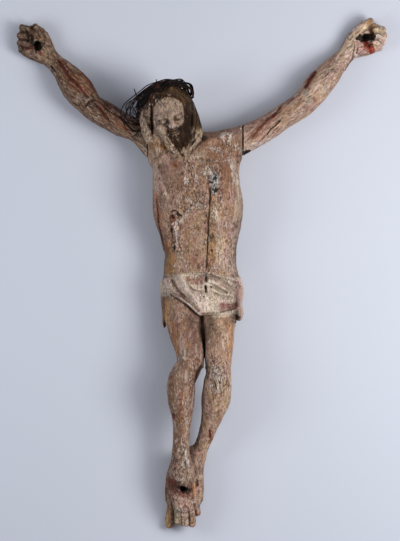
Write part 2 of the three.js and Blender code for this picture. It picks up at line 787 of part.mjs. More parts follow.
// Thins a closed mesh by collapsing the edges whose loss changes the form least.
class Thinner {
  constructor(points, triangles, weight) {
    this.points = points;
    this.triangles = triangles;
    this.weight = weight;
    this.around = Array.from({ length: points.length / 3 }, () => new Set());
    this.quadrics = Array.from({ length: points.length / 3 }, () => new Float64Array(10));
    this.stamp = new Int32Array(points.length / 3);
    this.heap = [];
    triangles.forEach((t, id) => {
      t.forEach((v) => this.around[v].add(id));
      this.addPlane(t);
    });
    const seen = new Set();
    for (const t of triangles) {
      for (let n = 0; n < 3; n += 1) {
        const a = Math.min(t[n], t[(n + 1) % 3]);
        const b = Math.max(t[n], t[(n + 1) % 3]);
        const key = a * this.around.length + b;
        if (!seen.has(key)) this.offer(a, b);
        seen.add(key);
      }
    }
  }

  at(v) {
    return [this.points[3 * v], this.points[3 * v + 1], this.points[3 * v + 2]];
  }

  cross(t, moved, to) {
    const [a, b, c] = t.map((v) => (v === moved ? to : this.at(v)));
    const u = [b[0] - a[0], b[1] - a[1], b[2] - a[2]];
    const w = [c[0] - a[0], c[1] - a[1], c[2] - a[2]];
    return [u[1] * w[2] - u[2] * w[1], u[2] * w[0] - u[0] * w[2], u[0] * w[1] - u[1] * w[0]];
  }

  addPlane(t) {
    const n = this.cross(t);
    const size = length3(...n) || 1e-12;
    const [a, b, c] = n.map((v) => v / size);
    const p = this.at(t[0]);
    const d = -(a * p[0] + b * p[1] + c * p[2]);
    const area = size / 2;
    const terms = [a * a, a * b, a * c, a * d, b * b, b * c, b * d, c * c, c * d, d * d];
    for (const v of t) terms.forEach((term, i) => (this.quadrics[v][i] += term * area));
  }

  // Where the merged vertex goes, and what that costs.
  merged(a, b) {
    const q = this.quadrics[a].map((v, i) => v + this.quadrics[b][i]);
    const cost = ([x, y, z]) =>
      q[0] * x * x + 2 * q[1] * x * y + 2 * q[2] * x * z + 2 * q[3] * x +
      q[4] * y * y + 2 * q[5] * y * z + 2 * q[6] * y + q[7] * z * z + 2 * q[8] * z + q[9];
    const pa = this.at(a);
    const pb = this.at(b);
    const middle = pa.map((v, i) => (v + pb[i]) / 2);
    const solver = new THREE.Matrix3().set(q[0], q[1], q[2], q[1], q[4], q[5], q[2], q[5], q[7]);
    const size = solver.determinant();
    const choices = [pa, pb, middle];
    if (Math.abs(size) > 1e-3) {
      const best = new THREE.Vector3(-q[3], -q[6], -q[8]).applyMatrix3(solver.invert()).toArray();
      const far = length3(...best.map((v, i) => v - middle[i]));
      const edge = length3(...pa.map((v, i) => v - pb[i]));
      if (far < 1.5 * edge) choices.unshift(best);
    }
    const place = choices.reduce((least, c) => (cost(c) < cost(least) ? c : least));
    const edge = length3(...pa.map((v, i) => v - pb[i]));
    return { place, cost: (Math.max(cost(place), 0) + 1e-4 * edge ** 2) * this.weight(...middle) };
  }

  offer(a, b) {
    const { place, cost } = this.merged(a, b);
    const item = { a, b, place, cost, stamps: [this.stamp[a], this.stamp[b]] };
    const heap = this.heap;
    let i = heap.push(item) - 1;
    while (i > 0) {
      const parent = (i - 1) >> 1;
      if (heap[parent].cost <= item.cost) break;
      heap[i] = heap[parent];
      i = parent;
    }
    heap[i] = item;
  }

  take() {
    const heap = this.heap;
    const top = heap[0];
    const last = heap.pop();
    if (heap.length) {
      let i = 0;
      for (;;) {
        let child = 2 * i + 1;
        if (child >= heap.length) break;
        if (child + 1 < heap.length && heap[child + 1].cost < heap[child].cost) child += 1;
        if (heap[child].cost >= last.cost) break;
        heap[i] = heap[child];
        i = child;
      }
      heap[i] = last;
    }
    return top;
  }

  neighbours(v) {
    const found = new Set();
    for (const id of this.around[v]) this.triangles[id].forEach((w) => found.add(w));
    found.delete(v);
    return found;
  }

  // Two vertices may merge only if the skin stays one closed sheet and no face turns over.
  allowed({ a, b, place }) {
    const nearB = this.neighbours(b);
    let shared = 0;
    for (const v of this.neighbours(a)) if (nearB.has(v)) shared += 1;
    if (shared !== 2) return false;
    for (const [v, other] of [[a, b], [b, a]]) {
      for (const id of this.around[v]) {
        const t = this.triangles[id];
        if (t.includes(other)) continue;
        const before = this.cross(t);
        const after = this.cross(t, v, place);
        const dot = before[0] * after[0] + before[1] * after[1] + before[2] * after[2];
        if (dot < 0.3 * length3(...before) * length3(...after)) return false;
        if (length3(...after) < 0.05) return false;
      }
    }
    return true;
  }

  thinTo(target) {
    let left = this.triangles.length;
    while (left > target && this.heap.length) {
      const item = this.take();
      const { a, b, place } = item;
      if (this.stamp[a] !== item.stamps[0] || this.stamp[b] !== item.stamps[1]) continue;
      if (!this.allowed(item)) continue;
      place.forEach((v, i) => (this.points[3 * a + i] = v));
      this.quadrics[b].forEach((v, i) => (this.quadrics[a][i] += v));
      for (const id of this.around[b]) {
        const t = this.triangles[id];
        if (t.includes(a)) {
          t.forEach((v) => v !== b && this.around[v].delete(id));
          this.triangles[id] = null;
          left -= 1;
        } else {
          t[t.indexOf(b)] = a;
          this.around[a].add(id);
        }
      }
      this.around[b].clear();
      this.stamp[a] += 1;
      this.stamp[b] += 1;
      for (const v of this.neighbours(a)) this.offer(Math.min(a, v), Math.max(a, v));
    }
    return this.triangles.filter(Boolean);
  }
}

// Solids

const wasm = await Module();
wasm.setup();

function solidFrom(points, triangles) {
  const used = new Map();
  const vertices = [];
  const indices = triangles.flat().map((v) => {
    if (!used.has(v)) {
      used.set(v, used.size);
      vertices.push(points[3 * v], points[3 * v + 1], points[3 * v + 2]);
    }
    return used.get(v);
  });
  return new wasm.Manifold(
    new wasm.Mesh({
      numProp: 3,
      vertProperties: new Float32Array(vertices),
      triVerts: new Uint32Array(indices),
    }),
  );
}

function solidOf(geometry) {
  const bare = geometry.clone();
  bare.deleteAttribute("normal");
  bare.deleteAttribute("uv");
  const merged = mergeVertices(bare, 1e-4);
  return new wasm.Manifold(
    new wasm.Mesh({
      numProp: 3,
      vertProperties: new Float32Array(merged.attributes.position.array),
      triVerts: new Uint32Array(merged.index.array),
    }),
  );
}

function geometryOf(solid) {
  const mesh = solid.getMesh();
  const geometry = new THREE.BufferGeometry();
  const places = new Float32Array(mesh.vertProperties);
  geometry.setAttribute("position", new THREE.BufferAttribute(places, 3));
  geometry.setIndex(new THREE.BufferAttribute(new Uint32Array(mesh.triVerts), 1));
  geometry.computeVertexNormals();
  return geometry;
}

// A box from one corner to the other, in the scaled figure.
function block(low, high) {
  const size = high.map((v, i) => v - low[i]);
  const geometry = new THREE.BoxGeometry(...size);
  geometry.translate(...low.map((v, i) => v + size[i] / 2));
  return solidOf(geometry);
}

// Hands, feet and head keep more triangles than plain limbs.
const fineWeight = (x, y) => {
  const hands = Math.abs(x) > 300 ? 5 : 1;
  const feet = y < 150 ? 3 : 1;
  const head = y > 745 && x < 0 && x > -125 ? 7 : 1;
  const cloth = y > 415 && y < 515 ? 2.5 : 1;
  return hands * feet * head * cloth;
};

const FAR = 2000;

function carvedSolid(clay, low, high, triangles) {
  const box = new THREE.Box3(new THREE.Vector3(...low), new THREE.Vector3(...high));
  const raw = skin((x, y, z) => clay.distance(x, y, z), box, CELL);
  const faces = trianglesOf(raw);
  settle(raw.points, faces, (x, y, z) => clay.distance(x, y, z));
  const thinner = new Thinner(raw.points, faces, fineWeight);
  const kept = thinner.thinTo(triangles);
  const scaled = thinner.points.map((v) => v * SCALE);
  const underTheBack = block([-FAR, -FAR, -FAR], [FAR, FAR, 0]);
  return solidFrom(scaled, kept).subtract(underTheBack);
}

// The nail holes run straight through to the back.
const NAIL_HOLES = { rightHand: [-329, 973], leftHand: [331, 986], feet: [-35, 83] };

function nailHole([x, y]) {
  const bore = new THREE.CylinderGeometry(NAIL_HOLE_RADIUS, NAIL_HOLE_RADIUS, 400, 10);
  bore.rotateX(Math.PI / 2);
  bore.translate(x * SCALE, y * SCALE, 0);
  return solidOf(bore);
}

// The crack is a thin wedge that follows the grain down the front.
function crack() {
  const line = [[18, 676, 0], [19, 668, 1], [19, 650, 1.2], [17, 600, 0.9], [14, 560, 0.7], [13, 518, 0]];
  const edge = (side) => line.map(([x, y, share]) => {
    return new THREE.Vector2(x * SCALE + (side * share * CRACK_WIDTH) / 2, y * SCALE);
  });
  const outline = new THREE.Shape([...edge(1), ...edge(-1).slice(1, -1).toReversed()]);
  const blade = new THREE.ExtrudeGeometry(outline, { depth: 100, bevelEnabled: false });
  blade.translate(0, 0, 92 * SCALE - CRACK_DEPTH);
  return solidOf(blade);
}

// Crown of wire

// The crown has slipped back: it crosses the top of the head in front and the nape behind.
// It also hangs lower on the right side of the head than on the left.
const CROWN_TIP = THREE.MathUtils.degToRad(62);
const CROWN_ROLL = THREE.MathUtils.degToRad(12);
const crownSide = headSide.clone().multiplyScalar(Math.cos(CROWN_ROLL));
crownSide.addScaledVector(headUp, Math.sin(CROWN_ROLL));
const overHead = headUp.clone().multiplyScalar(Math.cos(CROWN_ROLL));
overHead.addScaledVector(headSide, -Math.sin(CROWN_ROLL));
const crownFront = headFront.clone().multiplyScalar(Math.cos(CROWN_TIP));
crownFront.addScaledVector(overHead, Math.sin(CROWN_TIP));
const crownUp = new THREE.Vector3().crossVectors(crownSide, crownFront);
const crownCentre = new THREE.Vector3(-70, 850, 95);

// The loops turn round each other, close together at the bindings and apart between them.
const BINDINGS = 6;
const BUNDLE_RADIUS = 1.6 * WIRE_DIAMETER;
const TWIST_RADIUS = 0.8 * WIRE_DIAMETER;
const NAPE_SLIP = 6;
const slackAt = (angle) => Math.max(0, Math.cos(angle - SLACK_SIDE)) ** 4;

const carvedBody = carveBody();

// The first place outside the hair on the way out from the crown's middle
function outsideHair(from, direction, gap) {
  const p = from.clone();
  for (let r = 0; r < 110; r += 0.5) {
    p.copy(from).addScaledVector(direction, r);
    if (carvedBody.distance(p.x, p.y, p.z) > gap) break;
  }
  return p;
}

// In front the loops wander over the hair; behind they run together down to the nape.
function crownPoint(angle, loop) {
  const behind = Math.max(0, -Math.sin(angle));
  const apart = (1 - behind) * Math.abs(Math.sin((angle * BINDINGS) / 2)) ** 0.8;
  const turn = (2 * Math.PI * loop) / CROWN_LOOPS + angle;
  const wander = (BUNDLE_RADIUS + CROWN_SPREAD * apart) * Math.sin(turn);
  const over = (wander - NAPE_SLIP * behind) / SCALE;
  const out = (BUNDLE_RADIUS / SCALE) * (1 + Math.cos(turn));
  const from = crownCentre.clone().addScaledVector(crownUp, over);
  const direction = crownSide.clone().multiplyScalar(Math.cos(angle));
  direction.addScaledVector(crownFront, Math.sin(angle));
  const gap = (CROWN_CLEARANCE + WIRE_DIAMETER / 2) / SCALE;
  const slack = (CROWN_SLACK / SCALE) * (loop / CROWN_LOOPS) * slackAt(angle);
  const point = outsideHair(from, direction, gap);
  return point.addScaledVector(direction, slack + out).multiplyScalar(SCALE);
}

function wireLoop(loop) {
  const angles = Array.from({ length: WIRE_STEPS }, (_, i) => (2 * Math.PI * i) / WIRE_STEPS);
  const path = new THREE.CatmullRomCurve3(angles.map((angle) => crownPoint(angle, loop)), true);
  return solidOf(new THREE.TubeGeometry(path, WIRE_STEPS, WIRE_DIAMETER / 2, WIRE_SIDES, true));
}

function spike(from, to, footRadius, tipRadius) {
  const along = to.clone().sub(from);
  const geometry = new THREE.CylinderGeometry(tipRadius, footRadius, along.length(), WIRE_SIDES);
  geometry.translate(0, along.length() / 2, 0);
  const upright = new THREE.Vector3(0, 1, 0);
  geometry.applyQuaternion(new THREE.Quaternion().setFromUnitVectors(upright, along.normalize()));
  geometry.translate(...from.toArray());
  return solidOf(geometry);
}

function thorn(index) {
  const step = Math.round(((index + 0.35) * WIRE_STEPS) / CROWN_THORNS);
  const foot = crownPoint((2 * Math.PI * step) / WIRE_STEPS, index % CROWN_LOOPS);
  const out = foot.clone().addScaledVector(crownCentre, -SCALE).normalize();
  out.addScaledVector(crownUp, index % 2 ? 0.7 : -0.4).normalize();
  const tip = foot.clone().addScaledVector(out, THORN_LENGTH);
  return spike(foot, tip, WIRE_DIAMETER * 0.55, WIRE_DIAMETER * 0.3);
}

// A twist of binding wire runs from loop to loop where they lie together.
function binding(angle) {
  const places = Array.from({ length: CROWN_LOOPS }, (_, loop) => crownPoint(angle, loop));
  if (places.some((place) => place.distanceTo(places[0]) > 3 * BUNDLE_RADIUS)) return [];
  return places.slice(1).map((place, i) => spike(places[i], place, TWIST_RADIUS, TWIST_RADIUS));
}

function crown() {
  let made = wireLoop(0);
  for (let loop = 1; loop < CROWN_LOOPS; loop += 1) made = made.add(wireLoop(loop));
  for (let i = 0; i < BINDINGS; i += 1) {
    for (const twist of binding((2 * Math.PI * i) / BINDINGS)) made = made.add(twist);
  }
  for (let i = 0; i < CROWN_THORNS; i += 1) made = made.add(thorn(i));
  return made;
}

// Assembly

function meshOf(name, solid, color, roughness, metalness) {
  const material = new THREE.MeshStandardMaterial({ color, roughness, metalness });
  const mesh = new THREE.Mesh(geometryOf(solid), material);
  mesh.name = name;
  return mesh;
}

const leftOf = (x) => block([x, -FAR, -FAR], [FAR, FAR, FAR]);
const rightOf = (x) => block([-FAR, -FAR, -FAR], [x, FAR, FAR]);
const rightSeam = RIGHT_SEAM_X * SCALE;
const leftSeam = LEFT_SEAM_X * SCALE;

// The hair falls over the right shoulder, so the body is cut back at its seams only below this place.
const SEAM_TOP = new THREE.Vector3(0, 830, 80).multiplyScalar(SCALE);
const SEAM_FOOT = 700 * SCALE;
const beyondRightSeam = block([-FAR, SEAM_FOOT, -FAR], [rightSeam, SEAM_TOP.y, SEAM_TOP.z]);
const beyondLeftSeam = block([leftSeam, SEAM_FOOT, -FAR], [FAR, FAR, FAR]);

const body = carvedSolid(carvedBody, [-146, -10, -12], [118, 925, 190], BODY_TRIANGLES)
  .subtract(beyondRightSeam)
  .subtract(beyondLeftSeam)
  .subtract(nailHole(NAIL_HOLES.feet))
  .subtract(crack());
const rightArm = carvedSolid(carveRightArm(), [-384, 716, -12], [-56, 1034, 92], ARM_TRIANGLES)
  .subtract(leftOf(rightSeam - SHOULDER_GAP))
  .subtract(nailHole(NAIL_HOLES.rightHand));
const leftArm = carvedSolid(carveLeftArm(), [28, 726, -12], [388, 1038, 94], ARM_TRIANGLES)
  .subtract(rightOf(leftSeam + SHOULDER_GAP))
  .subtract(nailHole(NAIL_HOLES.leftHand));

const corpus = new THREE.Group();
corpus.add(
  meshOf("body", body, FLESH, 0.85, 0),
  meshOf("right_arm", rightArm, FLESH_PALE, 0.85, 0),
  meshOf("left_arm", leftArm, FLESH_PALE, 0.85, 0),
  meshOf("crown_of_thorns", crown(), IRON, 0.5, 0.8),
);

// The origin is under the middle of the figure as it lies.
const bounds = new THREE.Box3().setFromObject(corpus);
const middle = bounds.getCenter(new THREE.Vector3());
corpus.position.set(-middle.x, -middle.y, -bounds.min.z);

export default corpus;
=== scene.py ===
import math

import bpy
import numpy as np
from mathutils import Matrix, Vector


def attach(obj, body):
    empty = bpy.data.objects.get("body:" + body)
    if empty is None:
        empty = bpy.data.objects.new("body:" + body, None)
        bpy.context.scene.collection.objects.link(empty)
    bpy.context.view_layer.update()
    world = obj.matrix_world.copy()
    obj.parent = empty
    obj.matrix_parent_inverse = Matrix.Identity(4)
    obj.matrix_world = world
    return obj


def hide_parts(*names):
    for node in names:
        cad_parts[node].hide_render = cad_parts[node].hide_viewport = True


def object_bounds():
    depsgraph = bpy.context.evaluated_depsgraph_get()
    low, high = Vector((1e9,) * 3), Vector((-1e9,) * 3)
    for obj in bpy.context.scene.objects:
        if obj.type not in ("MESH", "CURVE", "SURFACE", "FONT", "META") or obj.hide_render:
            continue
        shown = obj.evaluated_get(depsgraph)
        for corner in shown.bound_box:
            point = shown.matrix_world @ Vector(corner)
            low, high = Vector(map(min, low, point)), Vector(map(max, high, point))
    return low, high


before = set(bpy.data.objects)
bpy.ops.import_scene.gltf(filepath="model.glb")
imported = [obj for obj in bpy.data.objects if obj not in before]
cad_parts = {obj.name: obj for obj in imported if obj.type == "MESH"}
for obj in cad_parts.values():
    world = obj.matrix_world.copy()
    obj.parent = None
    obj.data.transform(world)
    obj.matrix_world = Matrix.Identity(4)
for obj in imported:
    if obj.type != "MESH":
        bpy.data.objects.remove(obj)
cad_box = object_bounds()

# The carving is laid out in millimetres, X across, Y from the toes up and Z out of the back plane.
# This moves the layout to the frame of the part.
LAYOUT_TO_FRAME = np.array([-3.657, -513.048, 0.0])
MM = 0.001
CAD_LOW, CAD_HIGH = (np.array(corner) / MM - LAYOUT_TO_FRAME for corner in cad_box)
BOX_MARGIN = 0.1
CAD_LOW, CAD_HIGH = CAD_LOW + BOX_MARGIN, CAD_HIGH - BOX_MARGIN

BODY_CELL = 1.4
ARM_CELL = 1.3
MOST_TRIANGLES = 190000
RELIEF_REACH = 12


# Distance field

def smooth_min(a, b, k):
    h = np.maximum(k - np.abs(a - b), 0) / k
    return np.minimum(a, b) - h * h * k * 0.25


def smooth_max(a, b, k):
    return -smooth_min(-a, -b, k)


def smooth_step(low, high, x):
    t = np.clip((x - low) / (high - low), 0, 1)
    return t * t * (3 - 2 * t)


def smooth_through(rows, count):
    """A centripetal curve through the rows, at count + 1 even steps."""
    p = np.asarray(rows, float)
    n = len(p)
    p = np.vstack([2 * p[0] - p[1], p, 2 * p[-1] - p[-2]])
    out = []
    for k in range(count + 1):
        t = (n - 1) * k / count
        i = min(int(t), n - 2)
        w = t - i
        a, b, c, e = p[i : i + 4]
        d0, d1, d2 = (np.sum((v - u) ** 2) ** 0.25 for u, v in ((a, b), (b, c), (c, e)))
        d1 = d1 if d1 > 1e-4 else 1.0
        d0 = d0 if d0 > 1e-4 else d1
        d2 = d2 if d2 > 1e-4 else d1
        m1 = ((b - a) / d0 - (c - a) / (d0 + d1) + (c - b) / d1) * d1
        m2 = ((c - b) / d1 - (e - b) / (d1 + d2) + (e - c) / d2) * d1
        cubic = 2 * b - 2 * c + m1 + m2
        square = -3 * b + 3 * c - 2 * m1 - m2
        out.append(b + m1 * w + square * w * w + cubic * w ** 3)
    return np.array(out)


def square_distance(points, place):
    w = points - np.asarray(place, points.dtype)
    return np.einsum("ij,ij->i", w, w)


class Limb:
    """Stations [x, y, z, half width, half depth] joined by smooth curves, with carved flutes along it."""

    def __init__(self, rows, power=2.0, steps=3, flutes=0, flute_depth=0.0, twist=0.0):
        rows = np.asarray(rows, float)
        count = (len(rows) - 1) * steps
        self.places = smooth_through(rows[:, :3], count).astype(np.float32)
        sizes = smooth_through(np.c_[rows[:, 3:5], np.zeros(len(rows))], count)
        self.sizes = sizes[:, :2].astype(np.float32)
        self.power, self.flutes, self.flute_depth, self.twist = power, flutes, flute_depth, twist
        low = (self.places - self.sizes.max(1)[:, None] * 1.3).min(0)
        high = (self.places + self.sizes.max(1)[:, None] * 1.3).max(0)
        self.centre = (low + high) / 2
        self.radius = float(np.linalg.norm(high - low)) / 2
        steps_along = np.linalg.norm(np.diff(self.places, axis=0), axis=1)
        self.run = np.r_[0, np.cumsum(steps_along)]

    def distance(self, points):
        best = np.full(len(points), 1e6, np.float32)
        for i in range(len(self.places) - 1):
            p, q = self.places[i], self.places[i + 1]
            reach = max(self.sizes[i].max(), self.sizes[i + 1].max())
            radius = np.float32(np.linalg.norm(q - p) / 2 + reach * 1.25)
            near = np.flatnonzero(square_distance(points, (p + q) / 2) < np.maximum(best + radius, 0) ** 2)
            if len(near):
                best[near] = np.minimum(best[near], self.stretch(points[near], i))
        return best

    def stretch(self, points, i):
        p, q = self.places[i], self.places[i + 1]
        along = q - p
        length = float(np.linalg.norm(along)) or 1e-6
        forward = along / length
        flat = math.hypot(forward[0], forward[1]) or 1e-6
        across = np.array([-forward[1] / flat, forward[0] / flat, 0], np.float32)
        deep = np.cross(forward, across).astype(np.float32)
        w = points - p
        ahead = w @ forward
        t = np.clip(ahead / length, 0, 1)
        wide = self.sizes[i, 0] + t * (self.sizes[i + 1, 0] - self.sizes[i, 0])
        depth = self.sizes[i, 1] + t * (self.sizes[i + 1, 1] - self.sizes[i, 1])
        small = np.minimum(wide, depth)
        u = w @ across
        v = w @ deep
        s = (ahead - t * length) / small
        a = np.abs(u) / wide
        b = np.abs(v) / depth
        section = a * a + b * b if self.power == 2 else (a ** self.power + b ** self.power) ** (2 / self.power)
        d = (np.sqrt(section + s * s) - 1) * small
        if self.flutes:
            turn = np.arctan2(v, u) + self.twist * (self.run[i] + t * length)
            d = d + self.flute_depth * (1 - np.abs(np.cos(turn * self.flutes / 2)))
        return d


def stack(rows, power):
    """Sections given by their outline: [y, left, right, back, front]."""
    return Limb(
        [[(a + b) / 2, y, (back + front) / 2, (b - a) / 2, (front - back) / 2] for y, a, b, back, front in rows],
        power,
    )


def rod(start, end, r1, r2=None):
    return Limb([[*start, r1, r1], [*end, r2 or r1, r2 or r1]], steps=1)


class Egg:
    def __init__(self, centre, radii, axes=None):
        self.centre = np.asarray(centre, np.float32)
        self.radii = np.asarray(radii, np.float32)
        self.axes = np.asarray(np.eye(3) if axes is None else axes, np.float32)
        self.radius = float(self.radii.max())
        self.smallest = float(self.radii.min())

    def distance(self, points):
        local = (points - self.centre) @ self.axes.T / self.radii
        return (np.sqrt(np.einsum("ij,ij->i", local, local)) - 1) * self.smallest


class Carving:
    """Clay that is added to, cut from, pressed with relief and trimmed, in order."""

    def __init__(self):
        self.steps = []

    def add(self, form, blend=6.0):
        self.steps.append(("add", form, blend))
        return self

    def cut(self, form, blend=4.0):
        self.steps.append(("cut", form, blend))
        return self

    def relief(self, marks):
        self.steps.append(("relief", marks, 0))
        return self

    def trim(self, outside, blend=1.0):
        self.steps.append(("trim", outside, blend))
        return self

    def distance(self, points):
        d = np.full(len(points), 1e3, np.float32)
        for kind, form, blend in self.steps:
            if kind == "relief":
                near = np.abs(d) < RELIEF_REACH
                if near.any():
                    d[near] -= form(points[near])
            elif kind == "trim":
                near = d < RELIEF_REACH
                if near.any():
                    d[near] = smooth_max(d[near], form(points[near]), blend)
            else:
                bound = d + blend if kind == "add" else blend - d
                reached = square_distance(points, form.centre) < np.maximum(bound + form.radius, 0) ** 2
                near = np.flatnonzero(reached)
                if not len(near):
                    continue
                if kind == "add":
                    d[near] = smooth_min(d[near], form.distance(points[near]), blend)
                else:
                    d[near] = smooth_max(d[near], -form.distance(points[near]), blend)
        return d


# Marks seen from the front

def from_photo(*pixels):
    """Layout places for points given by their place in the picture."""
    return [[(x - 200) * 2.0, (530 - y) * 2.0] for x, y in pixels]


def distance_to_line(points, line):
    """How far each point is from a line of [x, y], and how far along the line, from 0 to 1."""
    best = np.full(len(points), 1e6)
    share = np.zeros(len(points))
    pieces = len(line) - 1
    for i in range(pieces):
        a, b = np.array(line[i][:2], float), np.array(line[i + 1][:2], float)
        run = b - a
        w = points[:, :2] - a
        t = np.clip(w @ run / (run @ run + 1e-9), 0, 1)
        d = np.linalg.norm(w - t[:, None] * run, axis=1)
        closer = d < best
        best[closer] = d[closer]
        share[closer] = (i + t[closer]) / pieces
    return best, share


def along_line(line, reach, height):
    """A mark within this reach of a line. Its height depends on the distance and the share of the line."""
    line = np.asarray(line, float)
    low, high = line.min(0) - reach, line.max(0) + reach

    def mark(points):
        out = np.zeros(len(points))
        near = np.all((points[:, :2] > low[:2]) & (points[:, :2] < high[:2]), axis=1)
        if near.any():
            out[near] = height(*distance_to_line(points[near], line))
        return out

    return mark


def ridge(line, width, height):
    """A soft ridge, or with a negative height a groove, along a line."""
    return along_line(line, 3 * width, lambda away, share: height * np.exp(-((away / width) ** 2)))


def split(line, width, depth):
    """A narrow crack with steep sides that thins out at both ends."""

    def height(away, share):
        taper = np.sqrt(np.clip(4 * share * (1 - share), 0, 1))
        return -depth * np.clip(taper * 1.3 - away / width, 0, 1)

    return along_line(line, 2 * width, height)


def mound(x0, y0, wide, tall, height):
    """A soft swelling, or with a negative height a hollow, about one place."""

    def mark(points):
        return height * np.exp(-(((points[:, 0] - x0) / wide) ** 2) - ((points[:, 1] - y0) / tall) ** 2)

    return mark


def faded(marks, share_at):
    """The marks together, times a share that depends on the height above the back plane."""

    def height(points):
        share = share_at(points[:, 2])
        out = np.zeros(len(points))
        there = share > 0
        if there.any():
            chosen = points[there]
            out[there] = share[there] * sum(mark(chosen) for mark in marks)
        return out

    return height


def on_front(marks, low, high):
    return faded(marks, lambda z: smooth_step(low, high, z))


def on_back(marks, low, high):
    return faded(marks, lambda z: 1 - smooth_step(low, high, z))


# Smooth noise on a lattice, the same on every run

def lattice(i, j, k, seed):
    h = (i * 374761393 + j * 668265263 + k * 1440662683 + seed * 974634777) & 0xFFFFFFFF
    h = ((h ^ (h >> 13)) * 1274126177) & 0xFFFFFFFF
    h = ((h ^ (h >> 15)) * 668265263) & 0xFFFFFFFF
    return (h ^ (h >> 16)) / 2147483648.0 - 1.0


def noise(points, size, seed):
    scaled = np.asarray(points, float) / size
    cell = np.floor(scaled).astype(np.int64)
    f = scaled - cell
    f = f * f * (3 - 2 * f)
    total = np.zeros(len(scaled))
    for a in (0, 1):
        for b in (0, 1):
            for c in (0, 1):
                weight = (
                    (f[:, 0] if a else 1 - f[:, 0])
                    * (f[:, 1] if b else 1 - f[:, 1])
                    * (f[:, 2] if c else 1 - f[:, 2])
                )
                total += weight * lattice(cell[:, 0] + a, cell[:, 1] + b, cell[:, 2] + c, seed)
    return total


# Head

HEAD_CENTRE = np.array([-64.0, 838.0, 104.0])
HEAD_LEAN = math.radians(18)
HEAD_NOD = math.radians(25)
head_up = np.array([
    -math.sin(HEAD_LEAN) * math.cos(HEAD_NOD),
    math.cos(HEAD_LEAN) * math.cos(HEAD_NOD),
    math.sin(HEAD_NOD),
])
head_side = np.array([math.cos(HEAD_LEAN), math.sin(HEAD_LEAN), 0.0])
head_front = np.cross(head_side, head_up)
head_axes = np.array([head_side, head_up, head_front])
HAIR_RADII = [46, 58, 53]


def on_head(side, up, front):
    return HEAD_CENTRE + side * head_side + up * head_up + front * head_front


def in_head(points):
    return (points - HEAD_CENTRE) @ head_axes.T


RIGHT_LOCK = [
    [-98, 868, 116, 9, 13],
    [-108, 842, 116, 12, 16],
    [-108, 810, 107, 11.5, 15],
    [-104, 788, 94, 10.5, 12],
    [-99, 776, 80, 8.5, 8],
]
LEFT_LOCK = [
    [-32, 872, 114, 8, 13],
    [-22, 848, 110, 11, 17],
    [-11, 816, 101, 12, 17],
    [-6, 788, 95, 11, 14],
    [-15, 764, 92, 8, 9],
]
RIGHT_WEB = [[-88, 828, 98, 16, 16], [-83, 800, 94, 19, 14], [-73, 770, 88, 20, 12], [-64, 746, 84, 18, 8]]
LEFT_WEB = [[-22, 816, 98, 9, 12], [-20, 792, 96, 9, 12], [-26, 766, 92, 8, 10]]


def head_ridge(line, width, height, least_front=20):
    """A ridge or groove along a line of [side, up], on the front of the head."""
    flat = ridge(line, width, height)

    def mark(points):
        local = in_head(points)
        return flat(local) * smooth_step(least_front, least_front + 10, local[:, 2])

    return mark


def hair_grooves(points):
    """Strands that run down from the crown of the head, parted in the middle."""
    local = in_head(points)
    side, up, front = local.T
    around = np.arctan2(side, front)
    from_top = np.hypot(side, front)
    wave = 0.09 * np.sin(up / 7.0 + 2.5 * around) + 0.05 * np.sin(up / 3.6 + around * 5)
    strands = 1 - np.abs(np.cos((around + wave) * 22))
    on_hair = smooth_step(12, 26, from_top) * smooth_step(-52, -40, up)
    face = smooth_step(34, 27, np.abs(side) + 0.35 * np.maximum(up - 16, 0)) * smooth_step(16, 28, front)
    face = face * smooth_step(41, 34, up)
    return -1.7 * strands * on_hair * (1 - face)


def beard_grooves(points):
    local = in_head(points)
    side, up, front = local.T
    width = np.interp(up, [-95, -84, -60, -40, -20], [7, 9, 18, 26, 30])
    spread = side / width + 0.1 * np.sin(up / 6.0) * np.sign(side)
    strands = 1 - np.abs(np.cos(spread * math.pi * 3.5))
    here = smooth_step(-34, -42, up) * smooth_step(8, 18, front) * smooth_step(1.25, 1.0, np.abs(side) / width)
    return -1.8 * strands * here


